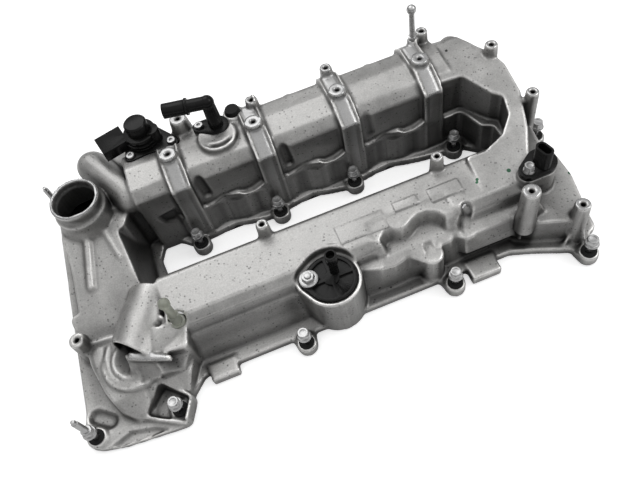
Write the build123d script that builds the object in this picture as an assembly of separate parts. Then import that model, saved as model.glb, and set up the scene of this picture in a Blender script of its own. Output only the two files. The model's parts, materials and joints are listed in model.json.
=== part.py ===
from build123d import *
import math
import os

# Aluminium camshaft cover for a four-cylinder engine: one hollow die casting, open below, with a
# long central slot between a high rear arm and a low front arm.
# Measuring frame: X runs along the arms, Y points to the rear, Z points up. The datum is the axis of
# the first band boss, on the machined underside of the flange. The last section moves the whole cover
# so that its origin is the centre of its footprint, on the surface that the gasket rests on.

# Walls, joint flange and gaskets
WALL = 3.5
FLANGE_T = 9.0
FLANGE_CORNER = 8.0
OUTER_LAND_W = 13.0
SLOT_LAND_W = 7.0
SEAL_LAND = 2.5
GASKET_W = 3.0
GROOVE_DEPTH = 2.5
GASKET_PROUD = 0.8
GASKET_CLEAR = 0.2
UNDER_Z = -20.0

# Rear arm and its bands
BAND_PITCH = 90.0
BAND_COUNT = 4
BAND_W = 21.0
BAND_PAD_W = 11.0
BAND_PAD_RISE = 1.4
BAND_RAIL_W = 2.6
BAND_FRONT_Y = -34.0
BAND_FRONT_Z = 89.0
BAND_TOP_Z = 102.0
BAND_REAR_Y = 44.0
BAND_BOSS_D = 18.4
BAND_BOSS_Z = 110.0
BAND_NECK_D = 14.6
REAR_TOP_Z = 97.0
REAR_SHOULDER_Z = 86.0
REAR_WALL_Y = -27.0
REAR_LEDGE_Z = 47.0
REAR_BACK_Y = 62.0
REAR_FLANGE_Y = 76.0
REAR_X0 = -48.0
REAR_X1 = 296.0
SMALL_BOSS_D = 13.0

# Front arm
FRONT_REAR_Y = -101.0
FRONT_TOP_Z = 66.0
FRONT_CREST_Y = -154.0
FRONT_CREST_Z = 62.0
FRONT_LEDGE_Y = -165.0
FRONT_LEDGE_Z = 44.0
FRONT_FOOT_Y = -176.0
FRONT_FLANGE_Y = -189.0
FRONT_X0 = -52.0
FRONT_X1 = 300.0

# Left end: sloping face, filler neck, hump and hood
LEFT_FLANGE_X = -155.0
LEFT_CREST_X = -130.0
LEFT_HIGH_Z = 76.0
LEFT_LOW_Z = 38.0
LEFT_PAD_Z = 31.0
NECK_X = -100.0
NECK_Y = -7.0
NECK_D = 47.5
NECK_BORE_D = 39.5
NECK_MOUTH_D = 42.0
NECK_TOP_Z = 105.0
NECK_COLLAR_D = 53.0
NECK_COLLAR_Z = 91.0
NECK_FOOT_D = 66.0
HUMP_R = 17.0
HUMP_Z = 78.0
HOOD_R = 24.0
HOOD_Z = 43.0

# Right end
RIGHT_HIGH_Z = 97.0
RIGHT_PLATE_Z = 42.0
RIGHT_FLANGE_X = 374.0

# Tapping holes in the bosses
TAP_D = 5.0
TAP_CHAMFER = 1.0
BAND_TAP_DEPTH = 12.3
BAND_TAP_STEP = 0.1

# Captive bolts: a raised bolt stands with its tip just clear of the joint face
BOLT_D = 6.0
BOLT_LENGTH = 26.0
BOLT_HEX = 10.0
BOLT_HEX_H = 6.0
BOLT_FLANGE_D = 14.0
BOLT_FLANGE_H = 2.0
BOLT_TIP_Z = 0.2
BOLT_THREAD_L = 12.0
BOLT_NECK_D = 5.2
BOLT_POINT = 1.0
STUD_TOP_Z = 60.0
EAR_D = 20.0
EAR_H = 12.0
LUG_R = 13.0
GROMMET_D = 11.6
GROMMET_BORE_D = 6.8
GROMMET_LIP_D = 5.8
GROMMET_LIP_H = 1.1
GROMMET_COLLAR_D = 15.0
GROMMET_COLLAR_H = 1.5

# Bought-in pieces
PRESS_GAP = 0.05
POCKET_GAP = 0.8
SEAL_H = 2.4
SEAL_DEPTH = 2.0
SEAL_DROP = 4.0
VENT_X = -20.0
VENT_Y = 41.0
VENT_SEAT_Z = 94.0
VENT_BASE_D = 40.0
VENT_CAP_D = 23.4
VENT_TOP_Z = 125.0
VENT_LUG_X = 6.5
VENT_LUG_Y = 25.0
VENT_LUG_R = 7.0
VENT_BORE_D = 24.0
VENT_FLANGE_T = 4.5
VENT_EAR_X = -37.0
VENT_EAR_Y = 25.0
ELBOW_X = 55.0
ELBOW_Y = 20.0
ELBOW_SEAT_Z = 98.0
ELBOW_RUN_Z = 135.0
ELBOW_END_X = 12.0
ELBOW_END_Y = 29.5
ELBOW_D = 13.0
ELBOW_BORE_D = 8.0
ELBOW_SEAT_D = 16.0
ELBOW_FLANGE_D = 25.0
ELBOW_FLANGE_T = 5.0
ELBOW_LUG_X = 38.0
ELBOW_LUG_Y = 26.0
COLLAR_X = 52.0
COLLAR_Y = 6.0
COLLAR_D = 40.0
COLLAR_TOP_Z = 104.0
PLUG_X = 75.0
PLUG_Y = 31.0
PLUG_D = 17.0
PLUG_SEAT_Z = 101.0
PLUG_HOLE_D = 10.0
FRONT_SENSOR_X = 103.0
FRONT_SENSOR_Y = -168.0
FRONT_SENSOR_R = 28.5
FRONT_SENSOR_Z = 52.0
FRONT_NUT_X = 83.0
FRONT_NUT_Y = -162.0
FRONT_RIM_W = 4.5
FRONT_LOBE_R = 9.0
FRONT_BORE_D = 26.0
FRONT_STUD_D = 6.0
SENSOR_PLATE_T = 5.0
FRONT_TOWER_X = 108.0
FRONT_TOWER_Y = -163.0
RIGHT_SENSOR_X = 327.0
RIGHT_SENSOR_Y = -145.0
RIGHT_SENSOR_R = 14.5
RIGHT_SENSOR_Z = 70.0
RIGHT_LOBE_R = 9.5
RIGHT_BORE_D = 18.0
RIGHT_BOLT_X = 311.0
RIGHT_BOLT_Y = -150.0
BALL_X = 277.5
BALL_Y = 34.0
BALL_SEAT_Z = 105.0
CLEAR_BALL_X = -42.5
CLEAR_BALL_Y = -152.0
CLEAR_BALL_SEAT_Z = 57.0
BALL_PIN_D = 6.0
CLEAR_PIN_D = 8.0
CLEAR_COLLAR_D = 14.5

# Baffle under the rear arm
BAFFLE_T = 1.5
BAFFLE_Z = 66.0
BAFFLE_X0 = -20.0
BAFFLE_X1 = 236.0
BAFFLE_Y0 = -19.0
BAFFLE_Y1 = 42.0
BAFFLE_BOSS_D = 9.0
BAFFLE_SCREW_D = 3.0

band_x = [i * BAND_PITCH for i in range(BAND_COUNT)]


def outline_face(points, radius):
    """Closed outline through the points, every corner rounded to the radius."""
    face = make_face(Polyline(*points, close=True))
    return fillet(face.vertices(), radius)


def inset_face(points, radius, inset):
    """Rounded outline drawn in by the inset, or let out where the inset is negative."""
    face = outline_face(points, radius)
    if inset == 0:
        return face
    return offset(face, -inset)


def plan(points, radius, low, high, inset=0.0):
    """Upright block over a plan outline, from low to high."""
    return Pos(0, 0, low) * extrude(inset_face(points, radius, inset), high - low)


def bar(points, radius, x0, x1, inset=0.0):
    """Bar along X from x0 to x1 whose section is the outline of (y, z) points."""
    section = Plane(origin=(x0, 0, 0), x_dir=(0, 1, 0), z_dir=(1, 0, 0)) * inset_face(points, radius, inset)
    return extrude(section, x1 - x0)


def cross_bar(points, radius, y0, y1, inset=0.0):
    """Bar along Y from y0 to y1 whose section is the outline of (x, z) points."""
    section = Plane(origin=(0, y1, 0), x_dir=(1, 0, 0), z_dir=(0, -1, 0)) * inset_face(points, radius, inset)
    return extrude(section, y1 - y0)


def rod(x, y, z0, z1, diameter):
    """Upright cylinder from z0 to z1."""
    return Pos(x, y, (z0 + z1) / 2) * Cylinder(diameter / 2, z1 - z0)


def taper(x, y, z0, z1, low_d, high_d):
    """Upright cone frustum from z0 to z1."""
    return Pos(x, y, (z0 + z1) / 2) * Cone(low_d / 2, high_d / 2, z1 - z0)


def tube(x, y, z0, z1, outer_d, inner_d):
    """Upright ring from z0 to z1."""
    return rod(x, y, z0, z1, outer_d) - rod(x, y, z0 - 1, z1 + 1, inner_d)


def hexagon(x, y, z0, z1, across_flats):
    """Upright hexagonal prism."""
    prism = extrude(RegularPolygon(across_flats / 2, 6, major_radius=False), z1 - z0)
    return Pos(x, y, z0) * prism


def block(x0, y0, x1, y1, z0, z1):
    """Box between two corners."""
    centre = Pos((x0 + x1) / 2, (y0 + y1) / 2, (z0 + z1) / 2)
    return centre * Box(abs(x1 - x0), abs(y1 - y0), abs(z1 - z0))


def stick(a, b, diameter):
    """Cylinder between two points."""
    run = Vector(*b) - Vector(*a)
    body = Pos(0, 0, run.length / 2) * Cylinder(diameter / 2, run.length)
    return Plane(origin=Vector(*a), z_dir=run) * body


def capsule(a, b, diameter):
    """Round-ended bar between two points."""
    return stick(a, b, diameter) + [Pos(*a) * Sphere(diameter / 2), Pos(*b) * Sphere(diameter / 2)]


def teardrop(x, y, radius, lobe_x, lobe_y, lobe_r, grow=0.0):
    """Flat outline of a round flange with one screw lobe, let out by grow."""
    flange = Pos(x, y) * Circle(radius + grow)
    lobe = Pos(lobe_x, lobe_y) * Circle(lobe_r + grow)
    return make_hull((flange + lobe).edges())


def tapped_hole(x, y, top, depth):
    """Blind tapping hole with a countersunk mouth."""
    mouth = taper(x, y, top - TAP_CHAMFER, top, TAP_D, TAP_D + 2 * TAP_CHAMFER)
    return rod(x, y, top - depth, top + 1, TAP_D) + mouth


# Places of the fasteners that clamp the flange, named by the edge they sit on
SLOT_BOLTS = [(-6.5, -44.5), (84.7, -43.6), (171.7, -42.5), (287.4, -46.5)]
FRONT_BOLTS = [(-70.5, -213.0), (60.0, -198.0), (214.0, -198.5), (343.0, -220.5)]
REAR_BOLTS = [(40.0, 72.0), (135.0, 72.0), (230.0, 72.0)]
RIGHT_BOLTS = [(371.5, -72.5)]
STUD_BOLTS = [(-151.0, -207.5), (-145.0, 66.0)]
SLOT_FRONT_EARS = [(18.0, -92.0), (108.0, -92.0), (198.0, -92.0)]
fastener_places = SLOT_BOLTS + FRONT_BOLTS + REAR_BOLTS + RIGHT_BOLTS + STUD_BOLTS

# Joint flange: its outline, and the outline of the slot
flange_outline = [
    (LEFT_FLANGE_X, REAR_FLANGE_Y - 16),
    (LEFT_FLANGE_X + 14, REAR_FLANGE_Y - 2),
    (300, REAR_FLANGE_Y - 6),
    (345, 44),
    (RIGHT_FLANGE_X - 6, 0),
    (RIGHT_FLANGE_X, -90),
    (RIGHT_FLANGE_X, -150),
    (RIGHT_FLANGE_X - 8, -198),
    (334, -212),
    (300, FRONT_FLANGE_Y - 8),
    (278, FRONT_FLANGE_Y),
    (-42, FRONT_FLANGE_Y),
    (-56, -203),
    (-68, -229),
    (-128, -224),
    (-152, -219),
    (-164, -204),
    (-159, -180),
    (-158, -100),
]

slot_outline = [
    (298, -48),
    (314, -62),
    (318, -82),
    (300, -98),
    (-36, -98),
    (-50, -74),
    (-53, -42),
    (-46, -27),
    (-32, -25),
    (-16, -39),
]
for x in band_x[:-1]:
    slot_outline += [(x + 18, -36), (x + 36, -34), (x + 56, -39), (x + 70, -42)]
slot_outline += [(278, -46)]

# Paths of the two gaskets in the joint face: outer edge of the rim gasket, inner edge of the slot gasket
rim_seal_outline = [
    (-143, 50),
    (-128, 63),
    (300, 60),
    (336, 36),
    (356, -4),
    (358, -60),
    (358, -150),
    (350, -190),
    (332, -202),
    (300, -187),
    (276, -181),
    (-40, -181),
    (-54, -194),
    (-68, -202),
    (-84, -206),
    (-102, -214),
    (-128, -213),
    (-140, -198),
    (-146, -180),
    (-146, -100),
]

slot_seal_outline = [
    (301, -35),
    (325, -60),
    (327, -86),
    (304, -107),
    (-40, -107),
    (-60, -76),
    (-63, -38),
    (-48, -17),
    (-26, -17),
    (-12, -34),
    (284, -34),
]

# Profiles and outlines of the hollow body; they run below the joint face and are trimmed there
rear_section = [
    (REAR_WALL_Y - 1, UNDER_Z),
    (REAR_WALL_Y, REAR_SHOULDER_Z),
    (REAR_WALL_Y + 10, REAR_TOP_Z - 1),
    (8, REAR_TOP_Z + 3),
    (30, REAR_TOP_Z),
    (48, REAR_TOP_Z - 18),
    (REAR_BACK_Y, 40),
    (REAR_BACK_Y + 2, UNDER_Z),
]

rear_foot_outline = [
    (REAR_X0, -18),
    (-22, -20),
    (-14, -33),
]
for x in band_x[:-1]:
    rear_foot_outline += [(x + 14, -32), (x + 36, -29), (x + 56, -34), (x + 74, -35)]
rear_foot_outline += [(REAR_X1, -33), (REAR_X1, REAR_BACK_Y), (REAR_X0, REAR_BACK_Y)]

front_wall = [
    (FRONT_CREST_Y + 4, FRONT_CREST_Z + 1.5),
    (FRONT_CREST_Y - 5, FRONT_CREST_Z - 6),
    (FRONT_LEDGE_Y + 4, FRONT_LEDGE_Z + 2),
    (FRONT_LEDGE_Y, FRONT_LEDGE_Z),
    (FRONT_LEDGE_Y - 4, 26),
    (FRONT_FOOT_Y, 4),
    (FRONT_FOOT_Y, UNDER_Z),
]

front_section = [
    (FRONT_REAR_Y + 3, UNDER_Z),
    (FRONT_REAR_Y, FRONT_TOP_Z - 3),
    (FRONT_REAR_Y - 5, FRONT_TOP_Z),
] + front_wall

left_section = [
    (-215, UNDER_Z),
    (-215, 4),
    (-206, 16),
    (-188, LEFT_PAD_Z - 3),
    (-132, LEFT_PAD_Z + 1),
    (-120, LEFT_LOW_Z + 1),
    (-26, LEFT_HIGH_Z - 3),
    (20, LEFT_HIGH_Z),
    (52, LEFT_HIGH_Z - 12),
    (REAR_BACK_Y, 40),
    (REAR_BACK_Y + 2, UNDER_Z),
]

left_slope_lean = [
    (LEFT_FLANGE_X + 5, UNDER_Z),
    (LEFT_FLANGE_X + 5, 4),
    (LEFT_CREST_X, 60),
    (LEFT_CREST_X + 5, 90),
    (-80, 90),
    (-75, 70),
    (-60, 4),
    (-60, UNDER_Z),
]

left_rear_outline = [
    (LEFT_CREST_X, -34),
    (LEFT_CREST_X + 2, 8),
    (-114, 34),
    (-104, REAR_BACK_Y),
    (-36, REAR_BACK_Y),
    (-36, -14),
    (-58, -18),
    (-68, -34),
]

left_pad_outline = [
    (-146, -96),
    (-141, -122),
    (-138, -148),
    (-131, -176),
    (-122, -198),
    (-104, -214),
    (-64, -222),
    (-54, -198),
    (-44, -180),
    (-42, -104),
    (-64, -96),
]

right_outline = [
    (268, 56),
    (268, -25),
    (304, -27),
    (322, -55),
    (331, -62),
    (327, -82),
    (311, -99),
    (288, -108),
    (268, -106),
    (268, -184),
    (300, -184),
    (312, -150),
    (326, -126),
    (338, -102),
    (350, -64),
    (350, -30),
    (340, -6),
    (320, 30),
]

right_section = front_wall[::-1] + [
    (-122, FRONT_TOP_Z + 2),
    (-22, RIGHT_HIGH_Z - 3),
    (22, RIGHT_HIGH_Z),
    (44, RIGHT_HIGH_Z - 16),
    (58, 40),
    (62, UNDER_Z),
]

right_foot_outline = [
    (268, 56),
    (268, -31),
    (302, -33),
    (311, -60),
    (322, -66),
    (322, -84),
    (306, -101),
    (288, -110),
    (268, -110),
    (268, -150),
    (340, -150),
    (352, -110),
    (358, -64),
    (356, -20),
    (326, 44),
]

plate_outline = [
    (286, -120),
    (350, -100),
    (361, -124),
    (361, -152),
    (354, -184),
    (340, -201),
    (302, -187),
    (286, -178),
]

HOOD_REAR = (-60, -104, HOOD_Z)
HOOD_MOUTH = (-86, -155, HOOD_Z)
PORT_X = -97.0
PORT_Y = -158.0
PORT_D = 38.0
PORT_PAD_D = 60.0
PORT_FLOOR_Z = 20.0


def hollow_body(inset=0.0):
    """Outer form of the hollow body as a list of blocks, or its core when an inset is given."""
    slope = cross_bar(left_slope_lean, 3, -104, 10, inset) & bar(left_section, 3, -170, -20, inset)
    rear = plan(left_rear_outline, 8, UNDER_Z, 120, inset) & bar(left_section, 3, -160, -20, inset)
    pad = plan(left_pad_outline, 6, UNDER_Z, 120, inset) & bar(left_section, 3, -160, -20, inset)
    right = plan(right_outline, 5, UNDER_Z, 120, inset) & bar(right_section, 3, 240, 380, inset)
    return [
        bar(rear_section, 5, REAR_X0, REAR_X1, inset),
        plan(rear_foot_outline, 2.5, UNDER_Z, REAR_LEDGE_Z - inset, inset),
        bar(front_section, 1.5, FRONT_X0, FRONT_X1, inset),
        slope,
        rear,
        pad,
        right,
        plan(right_foot_outline, 4, UNDER_Z, REAR_LEDGE_Z - inset, inset),
        plan(plate_outline, 8, UNDER_Z, RIGHT_PLATE_Z - inset, inset),
        stick(HOOD_REAR, HOOD_MOUTH, 2 * (HOOD_R - inset)),
        block(-94, -14, -36, REAR_BACK_Y - 4 - inset, UNDER_Z, HUMP_Z - inset),
        capsule((-82, 50 - inset, HUMP_Z), (-51, -8, HUMP_Z), 2 * (HUMP_R - inset)),
    ]


def flange_plate():
    """Flat flange that seals on the cylinder head, with the slot cut out of it."""
    return extrude(outline_face(flange_outline, FLANGE_CORNER) - outline_face(slot_outline, 5), FLANGE_T)


def seal_ring(outline, side, grow, low, high):
    """Ring of gasket section along an outline, towards its inside (-1) or outside (+1)."""
    edge = outline_face(outline, 8)
    if side < 0:
        ring = offset(edge, grow) - offset(edge, -GASKET_W - grow)
    else:
        ring = offset(edge, GASKET_W + grow) - offset(edge, -grow)
    return Pos(0, 0, low) * extrude(ring, high - low)


def joint_land():
    """The part of the flange that stays solid: a rim, a rim round the slot and both gasket tracks."""
    rim = outline_face(flange_outline, FLANGE_CORNER)
    slot_rim = offset(outline_face(slot_outline, 5), SLOT_LAND_W)
    inner = offset(rim, -OUTER_LAND_W) - slot_rim
    plate = Pos(0, 0, UNDER_Z - 1) * extrude(rim - inner, FLANGE_T - UNDER_Z + 1)
    tracks = [
        seal_ring(rim_seal_outline, -1, SEAL_LAND, UNDER_Z - 1, FLANGE_T),
        seal_ring(slot_seal_outline, 1, SEAL_LAND, UNDER_Z - 1, FLANGE_T),
    ]
    return plate + tracks


def band_parts():
    """Bands over the rear arm, each with a machined strip between two rails and a tapped boss."""
    section = [
        (BAND_FRONT_Y, 0),
        (BAND_FRONT_Y, BAND_FRONT_Z),
        (-9, BAND_TOP_Z),
        (BAND_REAR_Y - 14, BAND_TOP_Z),
        (BAND_REAR_Y, BAND_TOP_Z - 12),
        (BAND_REAR_Y, 60),
        (-20, 60),
        (-22, 0),
    ]
    strip = [
        (BAND_FRONT_Y, BAND_FRONT_Z - 20),
        (BAND_FRONT_Y, BAND_FRONT_Z + BAND_PAD_RISE),
        (-9, BAND_TOP_Z + BAND_PAD_RISE),
        (0, BAND_TOP_Z + BAND_PAD_RISE),
        (0, BAND_FRONT_Z - 20),
    ]
    parts = []
    for x in band_x:
        parts.append(bar(section, 1.0, x - BAND_W / 2, x + BAND_W / 2))
        parts.append(bar(strip, 0.4, x - BAND_PAD_W / 2, x + BAND_PAD_W / 2))
        for side in (-1, 1):
            edge = x + side * (BAND_W / 2 - BAND_RAIL_W / 2)
            parts.append(bar(strip, 0.4, edge - BAND_RAIL_W / 2, edge + BAND_RAIL_W / 2))
    return parts


# Upright bosses: (x, y, foot height, top height, foot diameter, top diameter, depth of the tapping hole)
BOSSES = [
    (20.6, 38.9, 82, 112, 25, 18, 14.4),
    (96.9, 29.5, 92, 110, 15, SMALL_BOSS_D, 11.9),
    (180.7, 35.0, 88, 110, 15, SMALL_BOSS_D, 11.8),
    (288.5, 36.0, 84, 110, 14, SMALL_BOSS_D, 11.7),
    (342.5, -14.0, 84, 107, 15, 13.6, 8.6),
    (294.0, -181.0, 30, 92, 20, 17, 20.4),
    (355.5, -76.0, 6, 90, 14, 13.6, 18.2),
    (61.2, -101.2, 50, 83, 16, 12.4, 11.0),
    (240.6, -101.5, 50, 83, 16, 12.4, 10.8),
    (340.5, -197.5, 6, 63, 19, 15, 12.6),
    (-140.5, -125.0, 4, 50, 18, 16, 12.4),
]
boss_holes = [(x, y, top, depth) for x, y, foot, top, foot_d, top_d, depth in BOSSES]
band_holes = [(x, 0, BAND_BOSS_Z, BAND_TAP_DEPTH - BAND_TAP_STEP * i) for i, x in enumerate(band_x)]
tapped_places = boss_holes + band_holes

# Bosses on the underside of the roof that carry the baffle
BAFFLE_PLACES = [(-8.0, 28.0), (56.0, -10.0), (134.0, 30.0), (134.0, -12.0), (224.0, 30.0), (224.0, -12.0)]


def front_sensor_outline(grow):
    """Flange of the front sensor: a disc with one screw lobe."""
    radius = FRONT_SENSOR_R - FRONT_RIM_W
    return teardrop(FRONT_SENSOR_X, FRONT_SENSOR_Y, radius, FRONT_NUT_X, FRONT_NUT_Y, FRONT_LOBE_R, grow)


def right_sensor_outline(grow):
    """Flange of the right sensor."""
    return teardrop(
        RIGHT_SENSOR_X, RIGHT_SENSOR_Y, RIGHT_SENSOR_R, RIGHT_BOLT_X, RIGHT_BOLT_Y, RIGHT_LOBE_R, grow
    )


def vent_outline(grow):
    """Flange of the vent valve: a disc with a screw lug on the right and a screw ear in front."""
    right_lug = teardrop(VENT_X, VENT_Y, VENT_BASE_D / 2, VENT_LUG_X, VENT_LUG_Y, VENT_LUG_R, grow)
    front_ear = teardrop(VENT_X, VENT_Y, VENT_BASE_D / 2, VENT_EAR_X, VENT_EAR_Y, VENT_LUG_R - 1, grow)
    return right_lug + front_ear


def elbow_outline(grow):
    """Flange of the elbow: a disc with one screw lug."""
    return teardrop(ELBOW_X, ELBOW_Y, ELBOW_FLANGE_D / 2, ELBOW_LUG_X, ELBOW_LUG_Y, VENT_LUG_R, grow)


def fin(a, b, low, high, thickness=3.0):
    """Upright wall between two plan points."""
    run = Vector(b[0] - a[0], b[1] - a[1], 0)
    body = Pos(run.length / 2, 0, (low + high) / 2) * Box(run.length + thickness, thickness, high - low)
    return Plane(origin=(a[0], a[1], 0), x_dir=run, z_dir=(0, 0, 1)) * body


def gusset(a, b, low, high, thickness=3.5):
    """Triangular rib, high at plan point a and running down to the foot at plan point b."""
    run = Vector(b[0] - a[0], b[1] - a[1], 0)
    side = Plane(origin=(a[0], a[1], 0), x_dir=run, z_dir=run.cross(Vector(0, 0, 1)))
    profile = make_face(Polyline((0, low), (run.length, low), (0, high), close=True))
    return side * (Pos(0, 0, -thickness / 2) * extrude(profile, thickness))


# Hollows sunk into the outer form, each an outline and its floor; the wall follows them inside
scoop_outline = [
    (160, -176),
    (158, -160),
    (166, -146),
    (186, -149),
    (200, -138),
    (220, -141),
    (226, -156),
    (219, -174),
    (204, -186),
    (186, -186),
]
bolt_bay_outline = [
    (-100, -207),
    (-80, -187),
    (-58, -207),
    (-64, -232),
    (-72, -232),
]
hollows = [
    (outline_face(scoop_outline, 4), FRONT_LEDGE_Z + 3),
    (outline_face(bolt_bay_outline, 3), FLANGE_T),
    (Pos(PORT_X, PORT_Y) * Circle(PORT_D / 2), PORT_FLOOR_Z),
    (front_sensor_outline(FRONT_RIM_W), FRONT_SENSOR_Z + 3),
    (front_sensor_outline(POCKET_GAP), FRONT_SENSOR_Z),
]
GROOVE_LOW = (241, -164, 46)
GROOVE_HIGH = (241, -158, 72)
GROOVE_D = 12.0
HOLLOW_H = 90.0

# Outer form, made solid first
outer_parts = hollow_body()
outer_parts.append(flange_plate())
outer_parts += band_parts()
outer_parts += [
    taper(NECK_X, NECK_Y, 50, 82, NECK_FOOT_D, NECK_COLLAR_D),
    rod(NECK_X, NECK_Y, 50, NECK_COLLAR_Z, NECK_COLLAR_D),
    rod(NECK_X, NECK_Y, 50, NECK_TOP_Z, NECK_D),
    plan([(-76, -126), (-40, -106), (-34, -150), (-40, -178), (-62, -176)], 5, UNDER_Z, 56),
    rod(PORT_X, PORT_Y, UNDER_Z, LEFT_PAD_Z + 2, PORT_PAD_D),
    Pos(0, 0, UNDER_Z) * extrude(front_sensor_outline(FRONT_RIM_W), FRONT_SENSOR_Z + 3 - UNDER_Z),
    rod(200, -176, UNDER_Z, FRONT_LEDGE_Z, 23),
    rod(314, 20, 60, 95, 22),
]
outer = outer_parts[0] + outer_parts[1:]
outer = outer - (
    [Pos(0, 0, floor) * extrude(face, HOLLOW_H) for face, floor in hollows]
    + [capsule(GROOVE_LOW, GROOVE_HIGH, GROOVE_D)]
)

# Core: the space inside, open below and held off every outer surface by the wall
core_parts = hollow_body(WALL)
core_parts += [
    plan([(-72, -126), (-44, -110), (-38, -150), (-44, -172), (-62, -172)], 3, UNDER_Z, 52),
    rod(NECK_X, NECK_Y, 40, 80, NECK_BORE_D),
    Pos(0, 0, UNDER_Z) * extrude(front_sensor_outline(-WALL), FRONT_SENSOR_Z - UNDER_Z),
]
core = core_parts[0] + core_parts[1:]
core = core - (
    [joint_land()]
    + [Pos(0, 0, floor - WALL) * extrude(offset(face, WALL), HOLLOW_H) for face, floor in hollows]
    + [capsule(GROOVE_LOW, GROOVE_HIGH, GROOVE_D + 2 * WALL)]
)
casting = outer - core

# Bosses, ears, seats and ribs pass through the wall
lugs = [teardrop(x, y, EAR_D / 2, x, y + LUG_R + 4, LUG_R) for x, y in FRONT_BOLTS[1:]]
lugs += [teardrop(x, y, EAR_D / 2, x, y - LUG_R, LUG_R) for x, y in REAR_BOLTS]
lugs += [teardrop(x, y, EAR_D / 2, x - LUG_R, y, LUG_R) for x, y in RIGHT_BOLTS]
casting = casting + (
    [taper(*boss[:6]) for boss in BOSSES]
    + [taper(x, 0, BAND_TOP_Z - 14, BAND_BOSS_Z - 4, BAND_NECK_D + 3, BAND_NECK_D) for x in band_x]
    + [rod(x, 0, BAND_BOSS_Z - 4.5, BAND_BOSS_Z, BAND_BOSS_D) for x in band_x]
    + [rod(x, y, 0, EAR_H, EAR_D) for x, y in fastener_places]
    + [extrude(lug, FLANGE_T) for lug in lugs]
    + [rod(x, y, 0, EAR_H - 2, EAR_D - 5) for x, y in SLOT_FRONT_EARS]
    + [rod(x, y, BAFFLE_Z, REAR_TOP_Z - 2, BAFFLE_BOSS_D) for x, y in BAFFLE_PLACES]
    + [
        Pos(0, 0, VENT_SEAT_Z - 8) * extrude(vent_outline(2), 8),
        rod(COLLAR_X, COLLAR_Y, 88, COLLAR_TOP_Z, COLLAR_D),
        Pos(0, 0, ELBOW_SEAT_Z - 12) * extrude(elbow_outline(2), 12),
        taper(PLUG_X, PLUG_Y, 88, PLUG_SEAT_Z, PLUG_D + 8, PLUG_D + 4),
        taper(BALL_X, BALL_Y, 84, BALL_SEAT_Z, 16, 11),
        rod(CLEAR_BALL_X, CLEAR_BALL_Y, 44, CLEAR_BALL_SEAT_Z, 19),
        tube(-62, -146, 50, 60, 19, 11),
        rod(FRONT_SENSOR_X, FRONT_SENSOR_Y, 36, FRONT_SENSOR_Z, FRONT_BORE_D + 8),
        rod(FRONT_NUT_X, FRONT_NUT_Y, 36, FRONT_SENSOR_Z, 14),
        rod(RIGHT_SENSOR_X, RIGHT_SENSOR_Y, 36, RIGHT_SENSOR_Z, 2 * RIGHT_SENSOR_R),
        Pos(0, 0, 56) * extrude(right_sensor_outline(0), RIGHT_SENSOR_Z - 56),
        block(-36, -199, -8, -182, 0, 11),
        block(231, -203, 262, -182, 0, 11),
        fin((-104, -208), (-69, -227), 0, 14),
        fin((-57, -208), (-66, -226), 0, 20),
        fin((-80, -184), (-57, -207), 0, 22),
        gusset((300, -180), (318, -176), RIGHT_PLATE_Z - 2, 78),
        gusset((341, -198), (345, -214), FLANGE_T - 2, 54),
        gusset((340, -198), (325, -204), FLANGE_T - 2, 40),
        gusset((-140, -125), (-122, -127), LEFT_PAD_Z - 8, 46),
    ]
)

# Holes, seats and grooves
vent_screw_places = [(VENT_LUG_X, VENT_LUG_Y), (VENT_EAR_X, VENT_EAR_Y)]
crescent = Pos(COLLAR_X, COLLAR_Y + 2) * (Circle(COLLAR_D / 2 - 2) - Pos(0, 6) * Circle(COLLAR_D / 2))
cuts = [block(-400, -400, 500, 400, UNDER_Z - 5, 0)]
cuts += [tapped_hole(x, y, top, depth) for x, y, top, depth in tapped_places]
cuts += [rod(x, y, -1, HOLLOW_H, GROMMET_D + 2 * PRESS_GAP) for x, y in fastener_places]
cuts += [rod(x, y, EAR_H, HOLLOW_H, GROMMET_COLLAR_D + 1) for x, y in fastener_places]
cuts += [rod(x, y, -1, EAR_H, 7) for x, y in SLOT_FRONT_EARS]
cuts += [rod(x, y, BAFFLE_Z - 1, BAFFLE_Z + 12, BAFFLE_SCREW_D) for x, y in BAFFLE_PLACES]
cuts += [rod(x, y, VENT_SEAT_Z - 12, VENT_SEAT_Z + 1, TAP_D) for x, y in vent_screw_places]
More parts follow.
